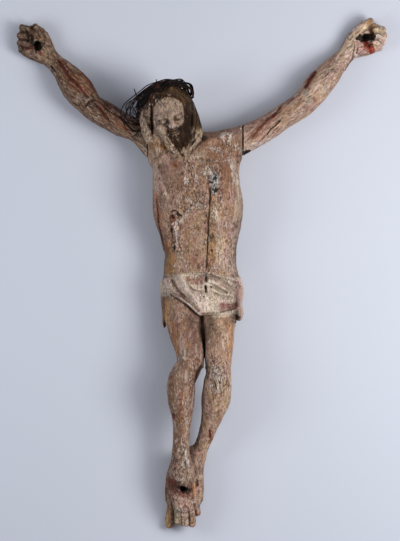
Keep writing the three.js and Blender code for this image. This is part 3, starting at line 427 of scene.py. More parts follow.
def add_head(clay):
    def head_egg(place, radii):
        return Egg(on_head(*place), radii, head_axes)

    clay.add(Limb([[-22, 752, 54, 34, 32], [-38, 784, 74, 27, 26], [*on_head(0, -26, -10), 28, 28]]), 12)
    clay.add(head_egg([0, 2, -4], HAIR_RADII), 8)
    clay.relief(hair_grooves)
    clay.add(head_egg([0, -16, 15], [36, 46, 38]), 6)
    clay.add(Limb(RIGHT_LOCK, flutes=8, flute_depth=2.6, twist=0.03), 5)
    clay.add(Limb(LEFT_LOCK, flutes=8, flute_depth=2.6, twist=-0.03), 5)
    clay.add(Limb(RIGHT_WEB, flutes=7, flute_depth=1.1), 9).add(Limb(LEFT_WEB, flutes=5, flute_depth=1.4), 6)
    for s in (-1, 1):
        fringe = [[*on_head(s * 15, 50, 16), 11, 11], [*on_head(s * 36, 20, 19), 11, 13]]
        clay.add(Limb(fringe, flutes=8, flute_depth=1.6), 6)
        clay.cut(head_egg([s * 15.5, 0, 57], [11, 7, 9]), 7)
        clay.add(head_egg([s * 15.5, -0.5, 43], [9.5, 7, 8]), 2)
        clay.add(head_egg([s * 20, -17, 37], [13, 12, 12]), 8)
        moustache = [
            [*on_head(s * 1, -21, 54), 4.2, 4],
            [*on_head(s * 9, -25.5, 51), 5, 4.5],
            [*on_head(s * 19, -36, 42), 4, 4],
        ]
        clay.add(Limb(moustache, flutes=5, flute_depth=0.9), 2.5)
        clay.add(rod(on_head(0, 9, 49), on_head(s * 24, 8, 41), 4.5, 3.5), 5)
        clay.add(head_egg([s * 5.2, -11, 53.5], [4.2, 4.2, 4.8]), 2)
    clay.add(rod(on_head(0, 9, 49), on_head(0, -11, 58), 4, 6), 4)
    clay.add(rod(on_head(-8, -27, 50), on_head(8, -27, 50), 3.2), 2)
    clay.add(rod(on_head(-6.5, -32, 49.5), on_head(6.5, -32, 49.5), 3.4), 2)
    clay.add(head_egg([0, -50, 33], [27, 26, 22]), 6)
    for s in (-1, 1):
        clay.add(rod(on_head(s * 9, -58, 38), on_head(s * 6, -84, 33), 15, 7), 5)
        clay.cut(rod(on_head(s * 3.6, -15.5, 60), on_head(s * 3.4, -11, 56), 1.3), 1)
    clay.relief(beard_grooves)
    eyes = []
    for s in (-1, 1):
        eyes.append(head_ridge([[s * 7.5, -2.5], [s * 12, -5.2], [s * 17, -5.6], [s * 23.5, -2.5]], 1.3, -1.4))
        eyes.append(head_ridge([[s * 8, 3.2], [s * 15, 5.4], [s * 23.5, 3.4]], 1.2, -0.9))
        eyes.append(head_ridge([[s * 6, 11], [s * 15, 13.5], [s * 26, 10.5]], 2.2, 0.8))
        eyes.append(head_ridge([[s * 9, -13], [s * 13, -20]], 2.5, -1.0))
    eyes.append(head_ridge([[-10.5, -30.2], [-4, -29.2], [0, -29.8], [4, -29.2], [10.5, -30.2]], 1.2, -1.8))
    eyes.append(head_ridge([[0, -17], [0, -22]], 2, -0.9))

    def face(points):
        out = np.zeros(len(points))
        near = np.linalg.norm(points - HEAD_CENTRE, axis=1) < 75
        if near.any():
            out[near] = sum(mark(points[near]) for mark in eyes)
        return out

    clay.relief(face)


# Trunk, legs, feet and cloth

RIGHT_SEAM_X = -104
LEFT_SEAM_X = 84

TRUNK = [
    [764, -72, 50, 16, 84],
    [750, -86, 66, 6, 94],
    [732, -93, 78, -1, 105],
    [710, -94, 77, -4, 113],
    [680, -95, 80, -4, 115],
    [650, -95, 86, -2, 113],
    [632, -92, 86, 1, 107],
    [616, -87, 84, 4, 100],
    [600, -82, 80, 7, 95],
    [580, -77, 76, 10, 90],
    [552, -70, 73, 11, 86],
    [528, -72, 73, 7, 88],
    [504, -74, 77, 0, 91],
    [480, -76, 80, -4, 92],
    [452, -75, 78, -4, 89],
    [430, -70, 74, 2, 83],
]
LEFT_SHOULDER = [
    [16, 744, 56, 40, 40],
    [56, 768, 56, 34, 36],
    [LEFT_SEAM_X, 780, 54, 28.6, 29],
    [102, 788, 53, 27.2, 27],
]
RIGHT_SHOULDER = [
    [-36, 740, 56, 40, 40],
    [-78, 756, 54, 30, 32],
    [RIGHT_SEAM_X, 778, 52, 23.5, 26],
    [-124, 796, 51, 21.5, 25],
]
RIGHT_LEG = [
    [-38, 468, 46, 35, 44],
    [-36.5, 424, 52, 32.5, 39],
    [-33.8, 406, 58, 31.4, 37],
    [-28, 386, 65, 30.8, 35],
    [-22.6, 368, 73, 29.2, 33.5],
    [-19.5, 352, 80, 27.8, 32],
    [-22, 328, 89, 25.2, 29],
    [-30, 314, 89, 26.6, 29],
    [-36.8, 299, 87, 27.6, 29],
    [-37.8, 280, 83, 28.2, 28],
    [-37.4, 260, 79, 26.8, 27],
    [-36, 232, 74, 21.2, 22],
    [-36.4, 206, 70, 17.8, 18.5],
    [-37.8, 177, 66, 16.2, 16.5],
    [-38.6, 154, 63, 16.4, 17],
]
LEFT_LEG = [
    [40, 468, 46, 36, 44],
    [38.6, 422, 52, 33, 39],
    [38.8, 398, 59, 30.2, 36],
    [37.8, 368, 69, 28.6, 33],
    [36.4, 336, 82, 26.2, 30],
    [37, 316, 87, 25, 28.5],
    [34.6, 290, 84, 28.4, 28.5],
    [32, 264, 76, 29, 29],
    [26, 236, 65, 23, 23],
    [18, 208, 53, 18, 18],
    [10.6, 185, 44, 15.6, 16],
    [-1.6, 156, 35, 15.6, 16],
    [-10, 138, 30, 19, 20],
]
LEFT_FOOT = [
    [-10, 148, 31, 21, 20],
    [-26, 127, 26, 34, 26],
    [-30, 104, 21, 37.5, 23],
    [-31, 80, 18, 39, 20],
    [-32, 60, 16, 38, 17],
    [-31, 46, 14, 31, 13],
]
LEFT_TOES = [
    [-55, 52, -61, 11, 10.5],
    [-44, 46, -45, 16, 7],
    [-32, 46, -32, 16, 7],
    [-19, 48, -18, 22, 6.6],
    [-8, 54, -5, 32, 6.6],
]
RIGHT_FOOT = [
    [-38.6, 160, 64, 16.5, 18],
    [-38, 140, 61, 20, 22],
    [-36.5, 118, 57, 25, 25],
    [-33, 92, 54, 27, 20],
    [-31, 66, 50, 27, 15],
    [-30, 46, 46, 24, 12],
]
RIGHT_TOES = [
    [-18, 40, -16, 12, 8.2],
    [-29, 38, -27.5, 11, 6],
    [-38, 40, -37.5, 11, 5.8],
    [-46, 44, -46, 16, 5.4],
]
CLOTH_TOP = [[-90, 494], [-70, 502], [-38, 511], [13, 512], [47, 505], [77, 504], [92, 494]]
CLOTH_HEM = [[-90, 470], [-66, 474], [-50, 468], [-24, 452], [-3, 431], [68, 435], [92, 424]]
WRAP = [
    [524, -76, 77, 0, 93],
    [500, -78, 80, -5, 97],
    [478, -79, 84, -7, 98],
    [452, -78, 83, -7, 97],
    [430, -76, 82, -5, 95],
    [408, -74, 82, -4, 93],
]
CLOTH_TAIL = [[-72, 492, 46, 7, 22], [-73, 462, 36, 5.5, 20], [-72, 434, 32, 4.5, 16], [-72, 408, 30, 4, 9]]
UPPER_BUNDLE = [[74, 500, 52, 8, 22], [79, 480, 50, 8.5, 28], [78, 456, 48, 6, 26]]
LOWER_BUNDLE = [[76, 450, 50, 8, 26], [79, 434, 50, 8.5, 26], [78, 424, 50, 6, 20]]

# Folds of the cloth: a line in the picture, a width and a height. It is rolled across from both hips.
CLOTH_FOLDS = [
    ([(181, 276), (187, 289), (194, 299), (200, 310)], 7, 5.5),
    ([(168, 281), (172, 291), (181, 298), (190, 305), (199, 314)], 4.5, 3),
    ([(213, 290), (221, 294), (230, 295)], 3.5, 3.5),
    ([(187, 283), (194, 288), (205, 290)], 3.5, 3.5),
    ([(209, 278), (217, 284), (225, 289), (232, 292)], 4, 4.5),
    ([(208, 273.5), (224, 277), (236, 281)], 3, 2),
    ([(203, 295), (206, 299), (211, 299), (214, 296)], 2.5, 2),
    ([(208, 281), (212, 284)], 3.5, 3),
    ([(203, 313), (220, 312.5), (237, 309)], 4, 2.5),
    ([(203, 306), (210, 309), (224, 308)], 9, 2),
    ([(172, 280), (177, 290), (184, 297), (192, 304), (199, 311)], 3, -4.5),
    ([(171, 294), (184, 303), (199, 315.5)], 1.7, -2.5),
    ([(186, 281), (192, 290), (199, 299), (202, 306)], 3, -3.5),
    ([(188, 287), (195, 291.5), (205, 293)], 2.5, -3),
    ([(187, 278), (196, 278), (205, 276)], 3.5, -3),
    ([(210, 275.5), (220, 280), (229, 286), (233, 289)], 3.2, -4.5),
    ([(210, 284), (218, 289), (226, 292.5)], 2.5, -3.5),
    ([(214, 294), (222, 298), (231, 298)], 2.5, -3),
    ([(204, 302), (209, 303), (214, 300)], 2, -2),
    ([(234, 281), (235, 292), (236, 303)], 2, -2),
    ([(222, 304), (230, 303), (236, 305)], 2.5, -2.5),
    ([(204, 311.5), (220, 310), (235, 306.5)], 1.8, -2.2),
    ([(165, 277.5), (178, 276), (190, 277), (206, 274.5), (224, 279), (236, 283)], 2, -1.2),
]
TRUNK_RELIEF = [
    mound(42, 708, 30, 26, 5),
    mound(-50, 706, 30, 26, 5),
    ridge([[-2, 752], [-6, 700], [-6, 656]], 8, -4),
    ridge([[-86, 716], [-72, 688], [-62, 672], [-44, 658], [-20, 660]], 5, -1.4),
    ridge([[74, 722], [70, 690], [54, 668], [24, 660]], 6, -0.5),
    ridge([[-36, 612], [-30, 628], [-18, 642], [-4, 649], [12, 646]], 4.5, 4),
    ridge([[12, 646], [26, 632], [34, 612], [40, 592]], 5, 3.5),
    ridge([[-44, 556], [-41, 584], [-36, 606]], 6, 2),
    mound(0, 600, 26, 38, -4.5),
    ridge([[-66, 640], [-52, 620], [-40, 604]], 4, -1.6),
    ridge([[-74, 622], [-58, 600], [-46, 586]], 4, -1.4),
    ridge([[60, 640], [50, 618], [44, 600]], 5, -1),
    ridge([[72, 616], [60, 596], [52, 580]], 5, -0.9),
    mound(2, 536, 34, 18, 3),
    ridge([[-12, 770], [26, 782], [64, 792]], 6, 3),
    ridge([[-88, 726], [-80, 680], [-66, 640]], 5, 2),
    ridge([[78, 730], [74, 690]], 6, 1),
]
THIGH_GAP = [
    [2.5, 436, 96, 5.5, 26],
    [3, 414, 98, 5.5, 26],
    [5, 392, 102, 3.8, 22],
    [7.5, 374, 106, 1.8, 16],
]
TOE_GROOVES = [
    ridge(from_photo((180.5, 509), (181, 516), (182, 527)), 1.6, -1.4),
    ridge(from_photo((188.5, 508), (189, 515), (189.5, 526)), 1.6, -1.4),
    ridge(from_photo((194.5, 504), (195.5, 512), (196, 522)), 1.6, -1.1),
    ridge(from_photo((176, 500), (180, 506), (184, 502), (188, 505), (192, 500)), 2.2, -1.4),
    ridge(from_photo((191, 484), (193, 494), (193.5, 506)), 1.8, -1.6),
]
RIGHT_THIGH_PAD = [
    [-15, 408, 64, 10, 24],
    [-9, 388, 72, 10.5, 24],
    [-3.5, 368, 79, 10.5, 23],
    [-1, 346, 86, 10, 17],
    [-1, 334, 88, 9, 13],
]
LEFT_THIGH_PAD = [
    [19.5, 408, 62, 10, 24],
    [19.5, 388, 70, 10.5, 24],
    [19, 368, 78, 10.5, 22],
    [19, 346, 85, 10, 16],
    [19.5, 334, 87, 9, 12],
]
THIGH_GROOVE = ridge(from_photo((203.5, 340), (204.2, 350), (204.6, 366)), 1.5, -5)
LEG_RELIEF = [
    mound(-22, 336, 14, 13, 5),
    mound(38, 324, 14, 13, 5),
    ridge([[-30, 304], [-36, 250], [-37, 180]], 6, 2.5),
    ridge([[34, 300], [26, 240], [8, 184]], 6, 2.5),
    ridge([[-44, 420], [-32, 372]], 9, 2),
    ridge([[36, 420], [36, 360]], 9, 2),
    ridge([[-22, 316], [-26, 306]], 6, -2),
]
BACK_RELIEF = [
    ridge([[-8, 760], [-6, 660], [-2, 560], [2, 510]], 9, -6),
    mound(2, 556, 60, 34, -3),
]
CRACK = [
    [18, 684], [20, 670], [17.5, 654], [19, 636], [16.5, 616],
    [17.5, 598], [14.5, 578], [15, 556], [12, 536], [13, 514],
]
SPLITS = [
    split([[-88, 665], [-84, 640], [-83, 620], [-77, 590], [-69, 556]], 1.1, 1.2),
    split([[-97, 852], [-95, 820], [-94, 786]], 2.4, 4),
    split([[12, 508], [12, 494]], 1.8, 6),
    split([[11, 490], [12, 474]], 2.2, 6),
    split(CRACK, 1.2, 2.8),
]


def height_at(line, x):
    return np.interp(x, [p[0] for p in line], [p[1] for p in line])


class Cloth:
    """The wrapped cloth, which ends at its upper and lower edges."""

    def __init__(self):
        self.wrap = stack(WRAP, 2.3)
        self.centre, self.radius = self.wrap.centre, self.wrap.radius

    def distance(self, points):
        d = self.wrap.distance(points)
        above = points[:, 1] - height_at(CLOTH_TOP, points[:, 0])
        below = height_at(CLOTH_HEM, points[:, 0]) - points[:, 1]
        return smooth_max(smooth_max(d, above, 3), below, 3)


def bore(back, front, radius, mouth, depth):
    """A slanting hole through to the back, with a broken mouth this wide at this height."""

    def outside(points):
        share = np.clip(points[:, 2] / depth, 0, 1.2)
        x = points[:, 0] - back[0] - share * (front[0] - back[0])
        y = points[:, 1] - back[1] - share * (front[1] - back[1])
        turn = np.arctan2(y, x)
        ragged = 1 + 0.12 * np.sin(3 * turn + 1) + 0.08 * np.sin(7 * turn)
        wide = radius + (mouth - radius) * smooth_step(depth - 14, depth, points[:, 2])
        return wide * ragged - np.hypot(x, y)

    return outside


def beyond_right_seam(points):
    x, y, z = points.T
    return -np.maximum.reduce([x - RIGHT_SEAM_X, 700 - y, y - 830, z - 80])


def beyond_left_seam(points):
    x, y, _ = points.T
    return -np.maximum(LEFT_SEAM_X - x, 700 - y)


def under_the_back(points):
    return 0.15 - points[:, 2]


def carve_body():
    clay = Carving()
    clay.add(stack(TRUNK, 2.5))
    clay.add(Limb(LEFT_SHOULDER), 16).add(Limb(RIGHT_SHOULDER), 16)
    clay.relief(on_front(TRUNK_RELIEF, 40, 80))
    clay.relief(on_back(BACK_RELIEF, 10, 30))
    clay.add(Limb(RIGHT_LEG), 7).add(Limb(LEFT_LEG), 10)
    clay.relief(on_front(LEG_RELIEF, 60, 85))
    clay.add(Limb(RIGHT_THIGH_PAD), 8).add(Limb(LEFT_THIGH_PAD), 8)
    clay.cut(Limb(THIGH_GAP), 4)
    clay.relief(on_front([THIGH_GROOVE], 60, 85))
    clay.add(Limb(LEFT_FOOT, power=2.4), 6)
    for x, y, tip_x, tip_y, r in LEFT_TOES:
        clay.add(rod([x, y, 14], [tip_x, tip_y, 11], r * 0.92, r), 2)
    clay.add(Limb(RIGHT_FOOT), 4)
    for x, y, tip_x, tip_y, r in RIGHT_TOES:
        clay.add(rod([x, y, 44], [tip_x, tip_y, 33], r), 2)
    clay.relief(on_front(TOE_GROOVES, 30, 44))
    clay.add(Cloth(), 2)
    clay.add(Limb(CLOTH_TAIL), 3).add(Limb(UPPER_BUNDLE), 4).add(Limb(LOWER_BUNDLE), 3)
    folds = [ridge(from_photo(*line), width, height) for line, width, height in CLOTH_FOLDS]
    clay.relief(on_front(folds, 40, 85))
    add_head(clay)
    clay.relief(on_front(SPLITS, 40, 60))
    clay.trim(bore((-35, 92), (-34, 80), 5.5, 9, 74))
    clay.trim(beyond_right_seam).trim(beyond_left_seam)
    clay.trim(under_the_back)
    return clay


# Arms

RIGHT_ARM = [
    [-90, 765, 53, 26.5, 28],
    [RIGHT_SEAM_X, 778, 52, 23.5, 26],
    [-120, 792, 51, 21.6, 25],
    [-133, 801.5, 50, 22.4, 25],
    [-157, 811, 48, 24.4, 25],
    [-176, 823, 46, 25.4, 25],
    [-197, 835, 44, 26, 25],
    [-216, 847, 43, 24.8, 24],
    [-230.8, 864, 42, 28, 25],
    [-244, 881, 40, 30.6, 26],
    [-257.4, 898.6, 36, 28.6, 24],
    [-272, 917, 31, 22.4, 20],
    [-288, 933, 26, 18.4, 15],
    [-298.8, 944.2, 22, 16.2, 14],
]
RIGHT_PALM = [
    [-296, 941, 22, 15, 13],
    [-312, 955, 18, 23, 16],
    [-326, 967, 15, 29, 17],
    [-340, 977, 14, 30, 16],
    [-348, 982, 14, 26, 14],
]
RIGHT_THUMB = [[-304, 966, 22, 10, 11], [-312, 991, 26, 8.5, 9], [-330, 1008, 30, 6.4, 6.6]]
RIGHT_THUMB_WEB = [[-314, 988, 20, 9, 9], [-326, 997, 20, 10, 9], [-338, 1003, 19, 8, 8]]
RIGHT_FINGERS = [
    [[-336, 1000, 16], [-357, 1007, 24], [-346, 1003, 38], 6.6],
    [[-342, 988, 14], [-361, 990, 24], [-344, 987, 38], 7],
    [[-344, 974, 14], [-361, 975, 23], [-344, 973, 37], 7],
    [[-340, 960, 14], [-358, 961, 22], [-343, 960, 34], 6.4],
]
LEFT_ARM = [
    [66, 772, 55, 31, 32],
    [LEFT_SEAM_X, 780, 54, 28.6, 29],
    [102, 788, 53, 27, 27],
    [123.6, 799, 51, 26, 26],
    [144, 811, 49, 25.2, 25],
    [163.2, 825, 47, 24.2, 25],
    [184.6, 837.4, 45, 24.6, 25],
    [204.6, 851.6, 43, 25.4, 25],
    [220.6, 868.4, 42, 26.4, 25],
    [234.6, 887, 40, 28, 26],
    [250, 904, 36, 26.2, 24],
    [265, 921.4, 31, 23, 20],
    [282, 939.4, 26, 18.6, 15],
    [295, 955, 22, 16, 14],
]
LEFT_PALM = [
    [292, 951, 22, 15, 13],
    [308, 968, 18, 24, 16],
    [324, 978, 15, 30, 17],
    [340, 983, 14, 30, 16],
    [350, 985, 14, 25, 14],
]
LEFT_THUMB = [[308, 986, 22, 11, 11], [324, 1007, 27, 9, 9.4], [342, 1019, 30, 6.8, 7]]
LEFT_THUMB_WEB = [[330, 1004, 20, 9, 9], [342, 1007, 20, 10, 9], [352, 1006, 20, 9, 9], [361, 1004, 21, 7, 8]]
LEFT_FINGERS = [
    [[346, 1002, 16], [367, 1003, 24], [351, 1001, 38], 6.6],
    [[350, 990, 14], [369, 990, 24], [352, 989, 38], 7],
    [[350, 977, 14], [366, 977, 23], [350, 977, 37], 6.8],
    [[344, 965, 14], [360, 965, 22], [345, 966, 34], 6.2],
]
RIGHT_ARM_RELIEF = [
    ridge([[-206, 836], [-222, 850], [-214, 866]], 5, -3),
    ridge([[-140, 800], [-176, 822]], 9, 3),
    ridge([[-226, 874], [-262, 906]], 8, 3),
    ridge([[-238, 868], [-270, 902]], 3.5, -2),
    mound(-329, 972, 11, 11, -4),
]
LEFT_ARM_RELIEF = [
    ridge([[196, 858], [210, 852], [222, 842]], 5, -3),
    ridge([[120, 800], [170, 828]], 9, 3),
    ridge([[222, 878], [258, 916]], 8, 3),
    ridge([[236, 874], [268, 908]], 3.5, -2),
    mound(330, 986, 11, 11, -4),
]


def carve_arm(arm, palm, thumb, web, fingers, marks, splits, hole, seam):
    """An arm with a closed hand, whose fingers two low bars join."""
    clay = Carving()
    clay.add(Limb(arm), 6).add(Limb(palm, power=2.4), 5).add(Limb(thumb), 5).add(Limb(web), 5)
    for share, half_depth in ((0.5, 8), (0.85, 7)):
        across = [
            [*(np.array(knuckle) * (1 - share) + np.array(bend) * share), 6, half_depth]
            for knuckle, bend, _, _ in fingers
        ]
        clay.add(Limb(across), 3)
    for knuckle, bend, tip, r in fingers:
        joints = [[*knuckle, r, r], [*bend, r, r], [*tip, r * 0.9, r * 0.9]]
        clay.add(Limb(joints), 2)
    clay.relief(on_front(marks, 34, 58))
    clay.relief(on_front(splits, 20, 40))
    clay.trim(bore(*hole, 5.5, 9, 30))
    clay.trim(seam).trim(under_the_back)
    return clay


# Meshing

CORNERS = np.array([[0, 0, 0], [1, 0, 0], [0, 1, 0], [1, 1, 0], [0, 0, 1], [1, 0, 1], [0, 1, 1], [1, 1, 1]])
EDGES = [(0, 1), (2, 3), (4, 5), (6, 7), (0, 2), (1, 3), (4, 6), (5, 7), (0, 4), (1, 5), (2, 6), (3, 7)]
BLOCK = 6
SMALL_BLOCK = 2
BLOCK_SLACK = 7
SMALL_BLOCK_SLACK = 4
BATCH = 200000


def inner_cells(count):
    return np.stack([g.ravel() for g in np.meshgrid(*(np.arange(count),) * 3, indexing="ij")], axis=1)


def sampled(clay, low, high, cell):
    """The field on a grid, read fully only in the blocks that the surface may pass through."""
    low = np.asarray(low, float)
    blocks = np.ceil((np.asarray(high) - low) / (cell * BLOCK)).astype(int)
    count = blocks * BLOCK
    grid = np.meshgrid(*(np.arange(n) for n in blocks), indexing="ij")
    index = np.stack([g.ravel() for g in grid], axis=1)
    rough = clay.distance((low + (index + 0.5) * BLOCK * cell).astype(np.float32))
    values = rough.reshape(blocks)
    for axis in range(3):
        values = np.repeat(values, BLOCK, axis)
    near = index[np.abs(rough) < BLOCK * cell * math.sqrt(3) / 2 + BLOCK_SLACK]
    per_side = BLOCK // SMALL_BLOCK
    small = (near[:, None] * per_side + inner_cells(per_side)[None]).reshape(-1, 3)
    rough = clay.distance((low + (small + 0.5) * SMALL_BLOCK * cell).astype(np.float32))
    for step in inner_cells(SMALL_BLOCK):
        values[tuple((small * SMALL_BLOCK + step).T)] = rough
    near = small[np.abs(rough) < SMALL_BLOCK * cell * math.sqrt(3) / 2 + SMALL_BLOCK_SLACK]
    inner = inner_cells(SMALL_BLOCK)
    for start in range(0, len(near), BATCH):
        cells = (near[start : start + BATCH, None, :] * SMALL_BLOCK + inner[None]).reshape(-1, 3)
        d = clay.distance((low + cells * cell).astype(np.float32))
        values[cells[:, 0], cells[:, 1], cells[:, 2]] = d
    outer = np.ones(count, bool)
    outer[1:-1, 1:-1, 1:-1] = False
    values[outer] = np.maximum(values[outer], cell)
    return values, low


def surface(values, low, cell):
    """One vertex in each cell that the surface crosses, and a square across each crossed edge."""
    inside = values < 0
    shape = np.array(values.shape) - 1
    total = np.zeros(shape, np.int8)
    for c in CORNERS:
        total += inside[c[0] : c[0] + shape[0], c[1] : c[1] + shape[1], c[2] : c[2] + shape[2]]
    crossed = np.argwhere((total > 0) & (total < 8))
    number = np.full(shape, -1, np.int32)
    number[tuple(crossed.T)] = np.arange(len(crossed))
    at = [values[tuple((crossed + c).T)] for c in CORNERS]
    place = np.zeros((len(crossed), 3))
    hits = np.zeros(len(crossed))
    for a, b in EDGES:
        cut = (at[a] < 0) != (at[b] < 0)
        t = at[a][cut] / (at[a][cut] - at[b][cut])
        place[cut] += CORNERS[a] + t[:, None] * (CORNERS[b] - CORNERS[a])
        hits[cut] += 1
    vertices = low + (crossed + place / hits[:, None]) * cell
    squares = []
    for axis in range(3):
        u, v = (axis + 1) % 3, (axis + 2) % 3
        step = np.zeros(3, int)
        step[axis] = 1
        ahead = inside[tuple(slice(s, None) for s in step)]
        behind = inside[tuple(slice(None, -1) if s else slice(None) for s in step)]
        change = np.argwhere(ahead != behind)
        change = change[(change[:, u] > 0) & (change[:, v] > 0)]
        change = change[(change[:, u] < shape[u]) & (change[:, v] < shape[v])]
        solid = behind[tuple(change.T)]
        du, dv = np.zeros(3, int), np.zeros(3, int)
        du[u], dv[v] = 1, 1
        ring = [number[tuple((change - off).T)] for off in (0 * du, du, du + dv, dv)]
        quads = np.stack(ring, axis=1)
        quads[~solid] = quads[~solid][:, ::-1]
        squares.append(quads)
    return vertices, np.vstack(squares)


def largest_piece(vertices, squares):
    """Drops crumbs that hang apart from the main skin."""
    label = np.arange(len(vertices))
    while True:
        least = label[squares].min(1)
        new = label.copy()
        for n in range(4):
            np.minimum.at(new, squares[:, n], least)
        new = new[new]
        if np.array_equal(new, label):
            break
        label = new
    names, sizes = np.unique(label, return_counts=True)
    keep = label == names[np.argmax(sizes)]
    renumber = np.cumsum(keep) - 1
    return vertices[keep], renumber[squares[keep[squares[:, 0]]]]


def mesh_from(name, vertices, faces):
    mesh = bpy.data.meshes.new(name)
    mesh.from_pydata(vertices.tolist(), [], faces.tolist())
    mesh.update()
    return mesh


def thinned(mesh, triangles):
    """The mesh with its flattest parts drawn coarser, down to this many triangles."""
    have = sum(len(p.vertices) - 2 for p in mesh.polygons)
    obj = bpy.data.objects.new("thinning", mesh)
    bpy.context.scene.collection.objects.link(obj)
    if have > triangles:
        modifier = obj.modifiers.new("thin", "DECIMATE")
        modifier.ratio = triangles / have
    depsgraph = bpy.context.evaluated_depsgraph_get()
    done = bpy.data.meshes.new_from_object(obj.evaluated_get(depsgraph))
    bpy.data.objects.remove(obj)
    return done


def vertex_places(mesh):
    out = np.empty(len(mesh.vertices) * 3, np.float32)
    mesh.vertices.foreach_get("co", out)
    return out.reshape(-1, 3).astype(float)


def vertex_normals(mesh):
    out = np.empty(len(mesh.vertices) * 3, np.float32)
    mesh.vertex_normals.foreach_get("vector", out)
    return out.reshape(-1, 3).astype(float)


def carved_piece(name, clay, low, high, cell, triangles, roughen):
    values, base = sampled(clay, low, high, cell)
    vertices, squares = largest_piece(*surface(values, base, cell))
    mesh = thinned(mesh_from(name, vertices, squares), triangles)
    mesh.name = name
    places, normals = vertex_places(mesh), vertex_normals(mesh)
    # How enclosed each vertex is at two reaches, and how far it stands out; the paint darkens enclosed places, the
    # deeper ones as painted shade
    reach = 5.0
    cavity = (reach - clay.distance((places + normals * reach).astype(np.float32))) / reach
    deep = 14.0
    hollow = (deep - clay.distance((places + normals * deep).astype(np.float32))) / deep
    crest = (reach + clay.distance((places - normals * reach).astype(np.float32))) / reach
    places = places + normals * roughen(places)[:, None]
    places = np.clip(places, CAD_LOW, CAD_HIGH)
    mesh.vertices.foreach_set("co", ((places + LAYOUT_TO_FRAME) * MM).astype(np.float32).ravel())
    mesh.update()
    mesh.polygons.foreach_set("use_smooth", [True] * len(mesh.polygons))
    put(mesh, "cavity", np.clip(cavity, 0, 1))
    put(mesh, "hollow", np.clip(hollow, 0, 1))
    put(mesh, "crest", np.clip(crest, 0, 1))
    obj = bpy.data.objects.new(name, mesh)
    bpy.context.scene.collection.objects.link(obj)
    return obj, places, normals


def put(mesh, name, values):
    layer = mesh.attributes.new(name, "FLOAT", "POINT")
    layer.data.foreach_set("value", np.asarray(values, np.float32))


# Paint, dirt and blood, with some painted shade and painted highlights, laid on as strokes seen from the front

def stroke(places, line, width, soft, rag, seed):
    """1 on the stroke, falling to 0 at its edge. The width, in millimetres, may change along it."""
    best, share = distance_to_line(places, line)
    if np.ndim(width):
        width = np.interp(share, np.linspace(0, 1, len(width)), width)
    else:
        width = np.full(len(places), float(width))
    out = np.zeros(len(places))
    near = best < width * (1 + soft + rag) + 1
    if near.any():
        broken = rag * (0.65 * noise(places[near], 9, seed) + 0.5 * noise(places[near], 4, seed + 1))
        out[near] = smooth_step(1 + soft, 1 - soft, best[near] / width[near] + broken)
    return out


def brushed(places, normals, strokes, soft=0.35, rag=0.7, seed=40):
    """How far strokes of [line in the picture, half width, strength] cover each vertex."""
    front = smooth_step(-0.15, 0.3, normals[:, 2])
    out = np.zeros(len(places))
    for number, (line, width, strength) in enumerate(strokes):
        cover = stroke(places, from_photo(*line), width, soft, rag, seed + number)
        out = np.maximum(out, strength * cover)
    return out * front


def washed(color, places, normals, strokes, soft=0.5, rag=0.8, seed=60):
    """The colour with strokes of [line in the picture, half width, strength, tone] laid over it."""
    front = smooth_step(-0.15, 0.3, normals[:, 2])
    for number, (line, width, strength, tone) in enumerate(strokes):
        cover = stroke(places, from_photo(*line), width, soft, rag, seed + number) * strength * front
        color = color + cover[:, None] * (np.array(tone) - color)
    return color


def blended(color, cover, tone):
    return color + np.asarray(cover)[:, None] * (np.array(tone) - color)


def put_color(mesh, name, color):
    color = np.clip(color, 0, 255)
    linear = np.where(color > 10, ((color / 255 + 0.055) / 1.055) ** 2.4, color / 255 / 12.92)
    layer = mesh.attributes.new(name, "FLOAT_COLOR", "POINT")
    layer.data.foreach_set("color", np.c_[linear, np.ones(len(linear))].astype(np.float32).ravel())


# Materials

def srgb(r, g, b):
    return tuple(((c / 255 + 0.055) / 1.055) ** 2.4 if c > 10 else c / 255 / 12.92 for c in (r, g, b)) + (1.0,)


